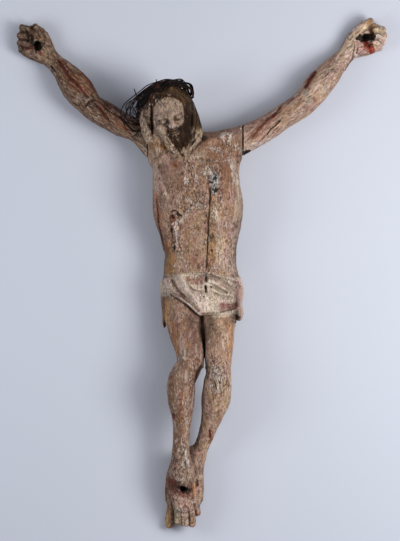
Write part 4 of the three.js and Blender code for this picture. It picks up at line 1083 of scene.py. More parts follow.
class Painter:
    """Builds one material from nodes."""

    def __init__(self, name, turn=0.0, stretch=0.5):
        self.material = bpy.data.materials.new(name)
        self.material.use_nodes = True
        self.tree = self.material.node_tree
        self.shader = self.tree.nodes["Principled BSDF"]
        place = self.tree.nodes.new("ShaderNodeTexCoord").outputs["Object"]
        self.place = self.mapped(place, (0, 0, turn), (1, 1, 1))
        self.grain = self.mapped(self.place, (0, 0, 0), (1, 0.09, 1))
        self.long = self.mapped(self.place, (0, 0, 0), (1, stretch, 1))

    def link(self, value, socket):
        if isinstance(value, bpy.types.NodeSocket):
            self.tree.links.new(value, socket)
        else:
            socket.default_value = value

    def mapped(self, vector, rotation, scale):
        node = self.tree.nodes.new("ShaderNodeMapping")
        self.link(vector, node.inputs["Vector"])
        node.inputs["Rotation"].default_value = rotation
        node.inputs["Scale"].default_value = scale
        return node.outputs["Vector"]

    def noise(self, size, detail=3.0, rough=0.55, vector=None, distortion=0.0, seed=0.0):
        """Noise whose lumps are about this many millimetres across."""
        node = self.tree.nodes.new("ShaderNodeTexNoise")
        node.noise_dimensions = "4D"
        self.link(vector or self.place, node.inputs["Vector"])
        node.inputs["W"].default_value = seed * 7.3
        node.inputs["Scale"].default_value = 1 / (size * MM)
        node.inputs["Detail"].default_value = detail
        node.inputs["Roughness"].default_value = rough
        node.inputs["Distortion"].default_value = distortion
        return node.outputs["Fac"]

    def attribute(self, name, output="Fac"):
        node = self.tree.nodes.new("ShaderNodeAttribute")
        node.attribute_name = name
        return node.outputs[output]

    def math(self, operation, a, b=0.0, c=0.0, clamp=False):
        node = self.tree.nodes.new("ShaderNodeMath")
        node.operation = operation
        node.use_clamp = clamp
        for value, socket in zip((a, b, c), node.inputs):
            self.link(value, socket)
        return node.outputs[0]

    def between(self, value, low, high, to_low=0.0, to_high=1.0):
        node = self.tree.nodes.new("ShaderNodeMapRange")
        node.interpolation_type = "SMOOTHSTEP"
        self.link(value, node.inputs["Value"])
        for socket, number in zip(("From Min", "From Max", "To Min", "To Max"), (low, high, to_low, to_high)):
            self.link(number, node.inputs[socket])
        return node.outputs["Result"]

    def mix(self, share, a, b, how="MIX"):
        node = self.tree.nodes.new("ShaderNodeMix")
        node.data_type = "RGBA"
        node.blend_type = how
        node.clamp_factor = True
        self.link(share, node.inputs["Factor"])
        sockets = [socket for socket in node.inputs if socket.type == "RGBA"]
        self.link(a, sockets[0])
        self.link(b, sockets[1])
        return [socket for socket in node.outputs if socket.type == "RGBA"][0]

    def grey(self, value):
        node = self.tree.nodes.new("ShaderNodeCombineColor")
        for socket in node.inputs:
            self.link(value, socket)
        return node.outputs[0]

    def broken(self, mask, size, seed, rag, soft=0.12, detail=5.0, vector=None):
        """A mask whose edge breaks up at this many millimetres."""
        ragged = self.noise(size, detail, 0.65, vector=vector, seed=seed)
        total = self.math("ADD", mask, self.math("MULTIPLY_ADD", ragged, rag, -rag / 2))
        return self.between(total, 0.5 - soft, 0.5 + soft)

    def finish(self, color, roughness, height, bump=0.5, distance=0.8):
        self.link(color, self.shader.inputs["Base Color"])
        self.link(roughness, self.shader.inputs["Roughness"])
        self.shader.inputs["Specular IOR Level"].default_value = 0.2
        node = self.tree.nodes.new("ShaderNodeBump")
        node.inputs["Strength"].default_value = bump
        node.inputs["Distance"].default_value = distance * MM
        self.link(height, node.inputs["Height"])
        self.link(node.outputs["Normal"], self.shader.inputs["Normal"])
        return self.material


def worn_paint(name, turn, chalk, wood, dark, stretch=0.5):
    """A worn flesh paint on a chalk ground, broken through to the grain, with dark spots, blood, darkened
    crevices, painted shade in deep recesses and dark rims of painted shade round the flakes.
    """
    p = Painter(name, turn, stretch)
    fibres = p.noise(1.7, 5, 0.7, vector=p.grain, seed=1)
    bands = p.noise(7, 4, 0.6, vector=p.grain, distortion=0.3, seed=2)
    clouds = p.noise(26, 4, 0.6, vector=p.long, seed=3)
    mottle = p.noise(8, 6, 0.7, vector=p.long, seed=4)
    speckle = p.noise(3.0, 4, 0.75, vector=p.long, seed=5)
    tints = p.noise(15, 4, 0.6, vector=p.long, seed=13)
    streaks = p.noise(5.0, 4, 0.65, vector=p.grain, distortion=0.2, seed=14)
    free = p.math("SUBTRACT", 1.0, p.attribute("sealed"))
    rough = p.between(p.noise(30, 3, 0.6, seed=12), 0.36, 0.64, -0.2, 0.25)
    rough = p.math("ADD", p.attribute("rough"), rough, clamp=True)

    tone = p.math("ADD", p.between(mottle, 0.35, 0.65, -0.12, 0.12), p.between(clouds, 0.35, 0.65, -0.1, 0.1))
    tone = p.math("ADD", tone, p.between(fibres, 0.38, 0.62, -0.18, 0.18))
    grit = p.math("MULTIPLY_ADD", rough, 0.5, 0.22)
    grit = p.math("MULTIPLY", p.between(speckle, 0.38, 0.62, -1.0, 1.0), grit)
    tone = p.math("ADD", tone, grit)
    color = p.mix(1.0, p.attribute("wash", "Color"), p.grey(p.math("ADD", tone, 1.0)), "MULTIPLY")
    tint = p.mix(p.between(tints, 0.38, 0.62), (1.04, 1.02, 0.86, 1.0), (1.03, 0.94, 0.98, 1.0))
    color = p.mix(free, color, p.mix(1.0, color, tint, "MULTIPLY"))

    bare = p.math("ADD", p.math("MULTIPLY", p.attribute("bare"), 0.35), bands)
    bare = p.math("ADD", bare, p.between(clouds, 0.3, 0.75, -0.1, 0.1))
    bare = p.math("MULTIPLY", p.between(bare, 0.6, 0.7), free)
    grain = p.mix(p.between(fibres, 0.36, 0.64), srgb(*(c * 0.66 for c in wood)), srgb(*wood))
    color = p.mix(p.math("MULTIPLY", bare, 0.6), color, grain)

    streaky = p.attribute("streaky")
    low = p.math("MULTIPLY", p.between(streaks, 0.46, 0.36), streaky)
    color = p.mix(p.math("MULTIPLY", low, 0.62), color, srgb(*(0.5 * (c + d) for c, d in zip(wood, dark))))
    high = p.math("MULTIPLY", p.between(p.math("MULTIPLY_ADD", speckle, 0.22, streaks), 0.64, 0.74), streaky)
    color = p.mix(p.math("MULTIPLY", high, 0.4), color, srgb(*chalk))

    spots = p.noise(3.2, 4, 0.65, vector=p.long, seed=10)
    spots = p.math("MULTIPLY_ADD", rough, 0.075, spots)
    spots = p.math("MULTIPLY", p.between(spots, 0.59, 0.645), free)
    color = p.mix(p.math("MULTIPLY", spots, 0.75), color, srgb(*dark))

    flakes = p.noise(2.8, 6, 0.75, vector=p.long, seed=6, distortion=0.25)
    drawn_out = p.noise(2.6, 6, 0.72, vector=p.mapped(p.place, (0, 0, 0), (1, 0.3, 1)), seed=15)
    drawn_out = p.math("SUBTRACT", p.math("SUBTRACT", drawn_out, 0.012), flakes)
    flakes = p.math("MULTIPLY_ADD", drawn_out, streaky, flakes)
    patches = p.between(p.noise(22, 4, 0.6, seed=7), 0.35, 0.7, -0.08, 0.05)
    flakes = p.math("ADD", p.math("ADD", flakes, patches), p.math("MULTIPLY", p.attribute("chalk"), 0.1))
    for mask, gain in (("crest", 0.16), ("cavity", -0.2), ("sealed", -0.07)):
        flakes = p.math("MULTIPLY_ADD", p.attribute(mask), gain, flakes)
    flakes = p.math("MULTIPLY_ADD", rough, 0.045, flakes)
    # A dark rim round the edge of each flake: painted shade beside the raised paint
    flake_shade_rim = p.math("MULTIPLY", p.between(flakes, 0.51, 0.56), p.between(flakes, 0.56, 0.6, 1.0, 0.0))
    flakes = p.between(flakes, 0.565, 0.61)
    flake_shade_rim = p.math("MULTIPLY", p.math("MULTIPLY", flake_shade_rim, free), p.math("MULTIPLY_ADD", rough, 0.5, 0.15))
    color = p.mix(flake_shade_rim, color, srgb(*dark))
    pale = p.mix(p.between(speckle, 0.4, 0.6), srgb(*(c * 0.88 for c in chalk)), srgb(*chalk))
    color = p.mix(p.math("MULTIPLY", flakes, 0.9), color, pale)

    for mask, low, high, size in (
        ("grey", (52, 50, 48), (190, 188, 184), 1.8),
        ("blood", (34, 13, 10), (112, 54, 40), 3.0),
        ("fresh", (74, 14, 12), (190, 78, 54), 2.4),
        ("black", (12, 8, 7), (56, 42, 34), 3.0),
    ):
        share = p.broken(p.attribute(mask), size, len(mask), 1.9, 0.18, vector=p.long)
        color = p.mix(share, color, p.mix(p.between(speckle, 0.42, 0.6), srgb(*low), srgb(*high)))
    # Darker in narrow crevices and in deep recesses; the darkening in the deep recesses is painted shade
    crevice_dark_and_painted_shade = p.math("MULTIPLY", p.attribute("cavity"), p.between(spots, 0.0, 1.0, 1.0, 1.3))
    shadow = p.between(p.attribute("hollow"), 0.12, 0.8, 0, 0.6)
    crevice_dark_and_painted_shade = p.math("MAXIMUM", p.between(crevice_dark_and_painted_shade, 0.08, 0.6, 0, 0.85), shadow)
    crevice_dark_and_painted_shade = p.math("MULTIPLY", crevice_dark_and_painted_shade, p.math("SUBTRACT", 1.0, p.attribute("less_hollow_shade")))
    color = p.mix(crevice_dark_and_painted_shade, color, srgb(*(c * 0.6 for c in dark)))
    height = p.math("MULTIPLY_ADD", flakes, 0.8, p.math("MULTIPLY", fibres, 0.5))
    height = p.math("ADD", height, p.math("MULTIPLY", mottle, 1.2))
    height = p.math("MULTIPLY_ADD", speckle, 0.5, height)
    height = p.math("SUBTRACT", height, p.math("MULTIPLY", spots, 0.6))
    return p.finish(color, p.between(mottle, 0.3, 0.7, 0.6, 0.85), height, 0.6, 1.1)


# Body

def flaked(places, seed):
    """The uneven surface that wear and flaking leave."""
    chips = smooth_step(0.12, 0.3, noise(places * [1, 0.6, 1], 7, seed)) * 0.45
    return 0.4 * noise(places, 12, seed + 1) + 0.25 * noise(places, 4.5, seed + 2) - chips


body_clay = carve_body()
body, places, normals = carved_piece(
    "body_carving", body_clay, [-146, -10, -10], [118, 925, 190], BODY_CELL, MOST_TRIANGLES,
    lambda q: flaked(q, 1) * (1 - 0.6 * smooth_step(75, 65, np.linalg.norm(q - HEAD_CENTRE, axis=1))),
)
x, y, z = places.T
side, up, front = in_head(places).T
head_clay = Carving()
add_head(head_clay)
to_head = head_clay.distance(places.astype(np.float32))
on_the_head = smooth_step(3.5, 1.5, to_head) * (y > 735) * smooth_step(-12, 0, z - 60)
neck = smooth_step(-30, -38, up) * smooth_step(8, 2, front)
cheek_line = np.interp(np.abs(side), [0, 9, 17, 24, 31], [-20, -19, -17, -11, 12])
beard = on_the_head * smooth_step(cheek_line + 2, cheek_line - 3, up) * smooth_step(2, 9, front)
lips = smooth_step(1.3, 0.8, np.hypot(side / 9.5, (up + 29.5) / 4))
beard = beard * smooth_step(38, 33, np.abs(side)) * (1 - 0.8 * lips)
face_edge = np.maximum(np.abs(side) / 31, (np.abs(side) / 34) ** 2 + ((up - 2) / 40) ** 2)
face = on_the_head * smooth_step(1.04, 0.92, face_edge) * smooth_step(16, 24, front) * (1 - beard)
beard_edge = np.interp(y, [746, 768, 788, 808, 834], [-36, -52, -66, -70, -72])
bare_cheek = smooth_step(3, -3, x - beard_edge) * smooth_step(846, 834, y) * smooth_step(74, 84, z)
beard = beard * (1 - bare_cheek)
locks = np.minimum(Limb(RIGHT_LOCK).distance(places), Limb(LEFT_LOCK).distance(places))
# On the right lock the pale stops short of its top, which stays dark as painted shade under the crown
lock = smooth_step(4, 1.5, locks) * np.where(x < -60, smooth_step(858, 838, y), smooth_step(812, 794, y))
lock = np.maximum(lock, on_the_head * bare_cheek * (1 - face)) * smooth_step(58, 74, z)
hair = np.clip(on_the_head * (1 - face) * (1 - neck), 0, 1)

FLESH = (150, 122, 105)
CLOTH = (190, 173, 159)
LEGS = (142, 114, 99)
PALE_LEGS = (168, 140, 121)
PALE_FEET = (164, 130, 111)
HAIR = (49, 29, 12)
BEARD = (38, 20, 3)
FACE = (150, 128, 112)
PALE = (190, 168, 151)
PALE_LOCK = (164, 142, 122)
OCHRE = (176, 128, 82)
RUSSET = (128, 84, 60)
UMBER = (84, 60, 46)
# The right arm's darker brown paint is partly painted shade, as it lies on the side away from the key light
RIGHT_ARM_FLESH_AND_SHADE = (112, 88, 74)
LEFT_ARM_FLESH = (168, 141, 125)
SEAM_GAP = 0.5

color = np.tile(np.array(FLESH, float), (len(places), 1))
below_hem = smooth_step(430, 415, y)
color = blended(color, below_hem, LEGS)
color = blended(color, below_hem * smooth_step(0, 16, x), PALE_LEGS)
color = blended(color, smooth_step(110, 80, y), PALE_FEET)
in_cloth = (y < height_at(CLOTH_TOP, x) + 2) * (y > np.minimum(height_at(CLOTH_HEM, x), 470) - 2)
in_cloth = in_cloth * smooth_step(4, 1.5, np.abs(Cloth().distance(places.astype(np.float32))) - 3)
color = blended(color, in_cloth, CLOTH)
color = washed(color, places, normals, [
    # chest; the pale strokes down both flank edges are painted highlights, where side light catches them
    ([(206, 138), (232, 150), (232, 185)], 26, 0.6, (134, 98, 78)),
    ([(210, 150), (222, 160), (226, 176)], 14, 0.5, (112, 76, 58)),
    ([(166, 168), (172, 188), (166, 200)], 22, 0.5, (124, 97, 86)),
    ([(180, 170), (184, 196)], 9, 0.4, (112, 82, 68)),
    ([(158, 204), (166, 208), (170, 204)], 10, 0.4, (166, 144, 128)),
    ([(157, 146), (163, 147)], 10, 0.85, OCHRE),
    ([(146, 138), (158, 158), (170, 164)], 9, 0.4, PALE),
    (
        [(168, 150), (178, 155), (190, 159), (200, 156), (208, 148), (216, 140)],
        [5, 6, 5, 6, 5, 3], 0.75, (190, 168, 148),
    ),
    ([(208, 146), (222, 140), (234, 146)], 10, 0.45, (140, 104, 84)),
    ([(171, 164), (177, 166)], 5, 0.8, RUSSET),
    ([(232, 160), (237, 186), (240, 196)], 6, 0.85, (204, 184, 166)),
    ([(153, 158), (156, 176), (155, 192)], 5, 0.5, PALE),
    ([(155, 165), (162, 182), (168, 199)], 3, 0.7, (196, 176, 160)),
    ([(241, 196), (238, 226), (234, 268)], 9, 0.6, (206, 184, 172)),
    ([(159, 224), (165, 252), (167, 272)], 4, 0.4, PALE),
    # belly; the pale strokes along the right flank are painted highlights on its edge
    ([(183, 222), (190, 210), (198, 206), (207, 208)], 4, 0.7, (198, 178, 160)),
    ([(194, 218), (197, 240), (196, 264)], 18, 0.5, (168, 143, 123)),
    ([(186, 226), (187, 250)], 8, 0.4, (132, 98, 78)),
    ([(190, 258), (200, 262)], 8, 0.45, (138, 98, 82)),
    ([(200, 222), (202, 250)], 6, 0.4, (150, 124, 100)),
    ([(217, 206), (219, 216)], 9, 0.5, (176, 152, 134)),
    ([(228, 206), (232, 222)], 12, 0.6, (162, 116, 90)),
    ([(222, 226), (228, 246)], 8, 0.45, (150, 106, 82)),
    ([(216, 252), (228, 266)], 12, 0.45, (194, 176, 164)),
    ([(213, 211), (214, 218)], 7, 0.8, (206, 192, 176)),
    ([(231, 206), (234, 236), (231, 268)], 14, 0.65, (210, 185, 173)),
    ([(224, 196), (226, 214), (222, 236)], 9, 0.35, (186, 158, 142)),
    ([(233, 190), (238, 206)], 10, 0.5, (196, 168, 154)),
    ([(212, 196), (211, 206), (212, 244), (211, 268)], [3, 5, 5], 0.6, (146, 114, 80)),
    ([(220, 224), (220, 246), (218, 268)], 8, 0.55, (192, 174, 158)),
    ([(207.5, 184), (210, 192), (209.7, 206), (208.3, 222), (208, 236), (206.7, 269)], 1.6, 0.9, (70, 42, 28)),
    ([(183, 216), (182, 240), (184, 262)], 3, 0.4, (192, 172, 156)),
    ([(170, 246), (169, 270)], [9, 12], 0.75, OCHRE),
    ([(179, 250), (179, 273)], 5, 0.6, (186, 168, 140)),
    ([(156, 196), (159, 222), (165, 252)], 5, 0.7, (150, 84, 54)),
    ([(171.5, 217), (174, 220)], 5.5, 0.75, (116, 70, 56)),
    ([(174.5, 213.7), (175.5, 214)], 2.2, 0.85, (206, 184, 170)),
    ([(176.2, 220), (178, 230), (177.6, 238), (175, 249)], 2.6, 0.8, (204, 170, 158)),
    ([(172, 224), (172.5, 236), (174, 248)], 3.5, 0.5, (140, 96, 82)),
    ([(211, 246), (212, 255)], 5, 0.5, OCHRE),
    # cloth; the dark strokes along the fold grooves are painted shade, the pale strokes along the fold ridges
    # painted highlights
    ([(238.5, 282), (240, 292), (239.5, 302)], 9, 0.8, (196, 160, 152)),
    ([(240, 306), (241, 316)], 8, 0.75, (200, 168, 158)),
    ([(222, 307), (235, 305)], 6, 0.75, (124, 78, 70)),
    ([(188, 279.5), (198, 281), (204, 279)], 6, 0.75, (136, 98, 84)),
    ([(208, 277), (216, 281)], 3, 0.6, (120, 88, 72)),
    ([(220, 285), (230, 290)], 3.5, 0.6, (136, 100, 86)),
    ([(169, 282), (173, 291), (180, 297)], 5, 0.5, (150, 122, 122)),
    ([(173, 281), (178, 290), (185, 297)], 3, 0.8, (112, 80, 64)),
    ([(171, 295), (184, 303.5), (199, 316)], 1.8, 0.85, (78, 56, 44)),
    ([(173, 292), (186, 300), (199, 311)], 1.6, 0.6, (96, 70, 56)),
    ([(203, 313.5), (219, 312.5), (236, 308.5)], 1.8, 0.8, (84, 62, 48)),
    ([(213, 316), (236, 313.5)], 4, 0.6, (214, 202, 186)),
    ([(181, 277), (187, 289), (195, 299), (200, 308)], 4, 0.5, (206, 190, 180)),
    ([(165, 275.5), (184, 274.5), (206, 272.5), (224, 276), (236, 279)], 2.4, 0.6, (204, 188, 166)),
    ([(209, 280), (218, 285), (228, 291)], 2, 0.7, (214, 200, 182)),
    ([(214, 290), (222, 294), (230, 295)], 2.4, 0.6, (212, 194, 176)),
    ([(188, 284), (195, 288), (205, 290)], 2.4, 0.5, (206, 188, 168)),
    ([(207, 282), (210, 283)], 4, 0.8, (226, 216, 196)),
    ([(202, 300), (214, 308)], 12, 0.5, (206, 192, 180)),
    ([(167, 300), (167, 322)], 3.5, 0.8, (196, 148, 90)),
    # thighs and legs
    ([(172, 324), (177, 352)], [6, 9, 4], 0.6, (176, 122, 80)),
    ([(230, 324), (230, 360)], [4, 6, 4], 0.6, (186, 134, 92)),
    ([(186, 326), (190, 345)], 14, 0.35, (124, 86, 72)),
    ([(182, 340), (184, 356)], 7, 0.4, PALE),
    ([(214, 330), (215, 345)], 12, 0.3, (128, 94, 76)),
    ([(172, 372), (171, 400)], 8, 0.5, (112, 88, 68)),
    ([(182, 394), (180, 418)], 6, 0.6, (150, 96, 62)),
    ([(217, 394), (219, 420)], 5, 0.5, (170, 120, 84)),
    ([(186, 388), (186, 462)], 4, 0.4, PALE),
    ([(178, 440), (180, 452)], 12, 0.3, UMBER),
    ([(220, 396), (212, 420), (203, 450)], 16, 0.4, (176, 148, 128)),
    ([(210, 432), (211, 440)], 4, 0.7, (120, 60, 46)),
    # ankles and feet
    ([(182, 456), (186, 470), (184, 480)], [12, 16, 14], 0.5, (160, 140, 124)),
    ([(197, 460), (200, 480)], 9, 0.45, (168, 148, 132)),
    ([(170, 481), (173, 487), (177, 493)], [9, 11, 7], 0.7, (96, 52, 42)),
    ([(182, 484), (190, 486)], 11, 0.5, (92, 66, 58)),
    ([(178, 495), (190, 498)], 11, 0.6, (150, 98, 90)),
    # painted shade on the outer side face of the front foot
    ([(166, 490), (167, 500)], 5, 0.6, (88, 64, 50)),
    ([(176, 474), (186, 480)], 8, 0.5, (176, 158, 142)),
    ([(198, 482), (200, 486)], 5, 0.5, (128, 72, 58)),
    ([(194, 486), (196, 502)], 3.5, 0.7, (190, 132, 84)),
    ([(167, 498), (168, 512), (168, 526)], 9, 0.6, (160, 126, 92)),
    ([(177, 510), (178, 526)], 7, 0.7, (172, 164, 146)),
    ([(185, 508), (186, 524)], 8, 0.6, (200, 180, 164)),
    ([(192, 506), (193, 522)], 6, 0.6, (190, 158, 142)),
    ([(199, 478), (200, 494), (198, 508)], 9, 0.75, (206, 180, 162)),
    ([(178, 501), (190, 504)], 13, 0.65, (206, 178, 166)),
    ([(177, 486.5), (183, 488), (189, 490)], [9, 10, 7], 0.8, (74, 48, 42)),
    # the thin dark lines along the toe grooves in this run, down to the arcs at the toe roots, are painted shade
    # between the toes
    ([(171.5, 504), (172.5, 510), (174, 517)], 1.6, 0.7, (74, 52, 40)),
    ([(180.5, 509), (181, 516), (182, 526)], 1.8, 0.65, (74, 52, 42)),
    ([(188.5, 508), (189, 515), (189.5, 525)], 1.8, 0.65, (74, 52, 42)),
    ([(194.5, 504), (195.5, 512), (196, 521)], 1.8, 0.6, (78, 54, 44)),
    ([(184, 503), (192, 508)], 8, 0.4, (176, 132, 120)),
    ([(183, 514), (186, 524)], 4, 0.5, (208, 190, 172)),
    ([(176, 509), (178, 506), (180, 509)], 1.6, 0.6, (80, 54, 46)),
    ([(183, 508), (185, 505), (188, 508)], 1.6, 0.6, (80, 54, 46)),
    ([(165, 524), (167, 527), (170, 525)], 3, 0.5, (196, 170, 140)),
])
# Painted rim light: surfaces turned sideways, between the feet and the shoulders, are made paler, as if lit from
# both sides
painted_rim_light = smooth_step(0.8, 0.3, normals[:, 2]) * smooth_step(470, 490, y) * smooth_step(760, 730, y)
color = blended(color, 0.5 * painted_rim_light, (208, 186, 172))
strands = noise(np.c_[np.arctan2(side, front) * 42, up * 0.25, side * 0], 3.2, 160) + 0.5 * noise(places, 4, 161)
strands = strands[:, None]
color = blended(color, hair, HAIR + strands * (44, 38, 24))
color = blended(color, beard, BEARD + strands * (20, 17, 11))
color = blended(color, lock * 0.95, PALE_LOCK + strands * (44, 44, 42))
color = blended(color, face, FACE)
color = washed(color, places, normals, [
    ([(160, 92), (182, 94)], 8, 0.5, (80, 64, 42)),
    # painted shade of the crown on the top of the right lock
    ([(146, 96), (144, 108)], 10, 0.7, (48, 34, 26)),
    ([(190, 100), (196, 118), (202, 134)], 8, 0.6, (64, 50, 36)),
    ([(201, 133), (194, 143), (187, 152)], 6, 0.7, (178, 156, 134)),
    ([(205, 138), (198, 146), (190, 155)], 2, 0.8, (72, 50, 36)),
    ([(182, 153), (184, 149), (186, 156)], 2.4, 0.7, (200, 178, 156)),
    ([(166, 127), (171, 133), (173, 143)], 2.6, 0.7, (58, 34, 24)),
    ([(160, 128), (163, 138), (170, 150)], 4, 0.5, (196, 176, 150)),
    ([(144, 116), (145, 128), (149, 138)], 2, 0.5, (110, 88, 70)),
    ([(154, 144), (164, 148)], 8, 0.6, (178, 128, 80)),
    ([(152, 100), (152, 134)], 2.6, 0.8, (70, 34, 24)),
], seed=140)
put_color(body.data, "wash", color)
wound = brushed(places, normals, [([(177, 486), (183, 488), (190, 490)], [11, 13, 9], 0.8)])
sealed = hair * (0.75 - 0.6 * lock) + face * 0.6 + beard * 0.7 + in_cloth * 0.45 + wound
put(body.data, "sealed", np.clip(sealed, 0, 1))
bright_thighs = smooth_step(330, 345, y) * below_hem * smooth_step(88, 96, z) * (np.abs(x - 8) > 3)
near_crack = smooth_step(6, 3, np.abs(x - np.interp(y, [510, 690], [12, 19]))) * (y > 514) * (y < 690)
# Less painted shade and crevice darkening on the cloth, bare cheeks, feet, thigh tops and beside the crack
less_hollow_shade = 0.55 * in_cloth + 0.6 * bare_cheek * (y < 800) + 0.45 * (y < 110)
less_hollow_shade = less_hollow_shade + 0.55 * bright_thighs + 0.35 * near_crack
put(body.data, "less_hollow_shade", np.clip(less_hollow_shade, 0, 0.6))
put(body.data, "rough", 0.25 + brushed(places, normals, [
    ([(189, 162), (192, 180), (191, 204)], [16, 22, 20], 0.65),
    ([(212, 166), (213, 190), (211, 215)], [16, 22, 16], 0.7),
    ([(209, 222), (209, 272)], 8, 0.5),
    ([(176, 210), (175, 232), (176, 250)], [14, 14, 10], 0.75),
    ([(226, 140), (232, 156)], 18, 0.35),
    ([(176, 152), (200, 156)], 12, 0.4),
    ([(214, 360), (218, 376), (218, 392)], [12, 22, 16], 0.75),
    ([(197, 360), (194, 392)], 9, 0.6),
    ([(176, 400), (186, 440)], 18, 0.3),
    ([(184, 450), (184, 478)], 30, 0.5),
    ([(180, 494), (184, 530)], 40, 0.2),
    ([(160, 96), (184, 96)], 26, 0.4),
    ([(144, 112), (146, 134)], 16, 0.6),
    ([(156, 138), (172, 150)], 14, 0.5),
]))
put(body.data, "bare", brushed(places, normals, [
    ([(168, 325), (176, 360)], 16, 0.5),
    ([(228, 322), (230, 362)], 8, 0.6),
    ([(180, 390), (178, 440)], 14, 0.5),
    ([(218, 388), (218, 424)], 6, 0.5),
    ([(224, 150), (232, 190)], 18, 0.3),
    ([(190, 215), (192, 262)], 16, 0.35),
    ([(226, 205), (230, 225)], 14, 0.6),
]) * (1 - in_cloth))
put(body.data, "chalk", np.maximum(brushed(places, normals, [
    ([(193, 166), (196, 178), (198, 188)], [3, 4.5, 3], 0.85),
    ([(188, 174), (186, 197), (193, 203)], [2, 3, 4], 0.75),
    ([(180, 222), (186, 212), (193, 207), (200, 205), (206, 207)], 2.5, 0.9),
    ([(156, 166), (162, 182), (168, 199)], 2.6, 0.8),
    ([(232, 163), (237, 187), (240, 192)], 5, 0.9),
    ([(214, 212), (214, 218)], 5, 0.9),
    ([(208, 168), (212, 174)], 5, 0.6),
    ([(220, 225), (216, 268)], 9, 0.35),
    ([(218, 134), (228, 140), (238, 150)], 10, 0.45),
    ([(175.5, 214.5), (177, 217)], 2, 0.9),
    ([(186, 168), (185, 188), (187, 202)], 1.6, 0.8),
    ([(199, 162), (203, 176), (200, 192)], 3, 0.5),
    ([(210, 196), (211, 204)], 3, 0.7),
    ([(178, 220), (175.5, 228), (176.5, 238), (177.5, 246)], 2.4, 1.0),
    ([(200, 155), (214, 148), (226, 152)], 6, 0.35),
    ([(150, 134), (160, 142)], 8, 0.3),
    ([(183, 461), (184, 478)], [9, 14], 0.36),
    ([(197, 456), (199, 472)], 7, 0.4),
    ([(187, 392), (186, 425), (187, 450)], 1.6, 0.5),
    ([(214, 368), (218, 384)], [8, 11, 7], 0.4),
    ([(213, 364), (217, 372)], 3, 0.7),
    ([(217, 383), (218, 391)], 2.5, 0.7),
    ([(182, 336), (184, 358)], 5, 0.55),
    ([(178, 498), (190, 500)], 8, 0.4),
    ], rag=0.9, seed=200), in_cloth * 0.28 + 0.1 * face))
put(body.data, "blood", brushed(places, normals, [
    ([(172, 226), (172.5, 236), (174.5, 249)], [2, 3, 2], 0.5),
    ([(172.5, 215.5), (173.5, 218)], 3.2, 0.75),
    ([(171, 480), (174, 486), (176, 492)], [7, 7, 6], 0.5),
    ([(179, 494), (185, 495), (192, 497)], 6, 0.48),
    ([(188, 481), (190, 485)], 4, 0.4),
    ([(197, 482), (197.5, 485)], 4, 0.8),
    ([(210, 430), (210.5, 437)], 2.2, 0.7),
    ([(173, 414), (173.5, 417)], 3.5, 0.6),
    ([(157, 199), (159, 222)], 2, 0.6),
], rag=0.8, seed=240))
put(body.data, "grey", brushed(places, normals, [
    ([(215, 174), (213, 182), (215, 192)], [5, 8, 7], 0.75),
], rag=1.2, seed=270))
streaky = np.interp(y, [90, 200, 405, 430, 520, 690, 740], [0, 0.9, 0.9, 0.1, 0.5, 0.4, 0.2])
put(body.data, "streaky", streaky * (1 - hair) * (1 - face))
put(body.data, "black", brushed(places, normals, [
    ([(170.6, 212.6), (173, 210.8), (176.4, 210.8), (178, 213)], [1.2, 1.5, 2.0, 2.4], 0.9),
    ([(177, 214.4), (179.4, 215), (181.8, 216.6)], [2.0, 2.6, 1.8], 0.95),
    ([(170, 217), (170.4, 221), (172, 224)], [0.9, 1.6, 0.8], 0.6),
    ([(173, 215.6), (173.4, 217)], 1.8, 0.75),
    ([(171.4, 229), (171.8, 232)], 2.0, 0.85),
    ([(172.4, 233.6), (173, 236.6)], 1.8, 0.85),
    ([(175.6, 239), (175, 243)], 1.3, 0.8),
    ([(174.6, 246), (174.4, 250)], 2.0, 0.9),
    ([(179, 486.5), (184, 488)], [5, 6], 0.6),
    ([(187, 489), (190, 490)], 3.4, 0.7),
    ([(186, 492), (188, 494)], 2.0, 0.6),
    ([(209.5, 187), (210.5, 195), (209.7, 204)], [1.8, 1.8, 1.0], 0.85),
    ([(216, 176), (212, 183), (216, 188), (214, 193)], 1.5, 0.9),
    ([(208, 184), (212, 180), (218, 178)], 1.3, 0.7),
    ([(216, 191), (218, 190)], 2.0, 0.85),
    ([(201, 365), (198.4, 370), (196, 376), (195.4, 383), (196, 391)], [2, 3.4, 3.4, 3, 1.6], 0.72),
    # painted shade in the groove between the thighs
    ([(204.5, 345), (205, 365)], 1.0, 0.6),
    ([(211, 368.5), (214, 368)], 1.3, 0.65),
    ([(214, 372), (216.5, 374)], 1.3, 0.7),
    ([(218, 366), (220.5, 369.5)], 1.2, 0.65),
    ([(213, 363.5), (216, 364.5)], 1.2, 0.6),
    ([(214, 379), (215, 382)], 1.3, 0.65),
    ([(218, 380), (219.5, 383)], 1.3, 0.65),
    ([(221, 374), (222, 378)], 1.2, 0.6),
    ([(215.6, 385), (216.4, 388)], 1.8, 0.85),
    ([(211.5, 373), (212, 377)], 1.2, 0.6),
    ([(217, 370), (217.4, 372)], 1.1, 0.6),
    ([(174, 165), (176, 166)], 1.8, 0.6),
    ([(201, 282), (201.5, 283)], 2.4, 0.9),
    ([(210.5, 286.5), (211.5, 287.5)], 2.4, 0.85),
    ([(206, 277), (206, 281)], 1.8, 0.85),
    ([(205.5, 286), (206, 292)], 2.4, 0.85),
    ([(202, 299), (204, 296)], 1.6, 0.6),
    ([(185, 460), (186, 464)], 2.4, 0.6),
    ([(211.5, 250), (212, 252)], 2.0, 0.6),
    # painted shade in the gaps between the toes
    ([(180.8, 513), (181.5, 522)], 1.0, 0.5),
    ([(188.8, 511), (189.3, 521)], 1.0, 0.5),
], rag=0.6, seed=280))
body.data.materials.append(worn_paint("carved_wood", 0.0, (224, 207, 193), (156, 112, 80), (70, 45, 35)))
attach(body, "root")
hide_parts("body")


# Arms

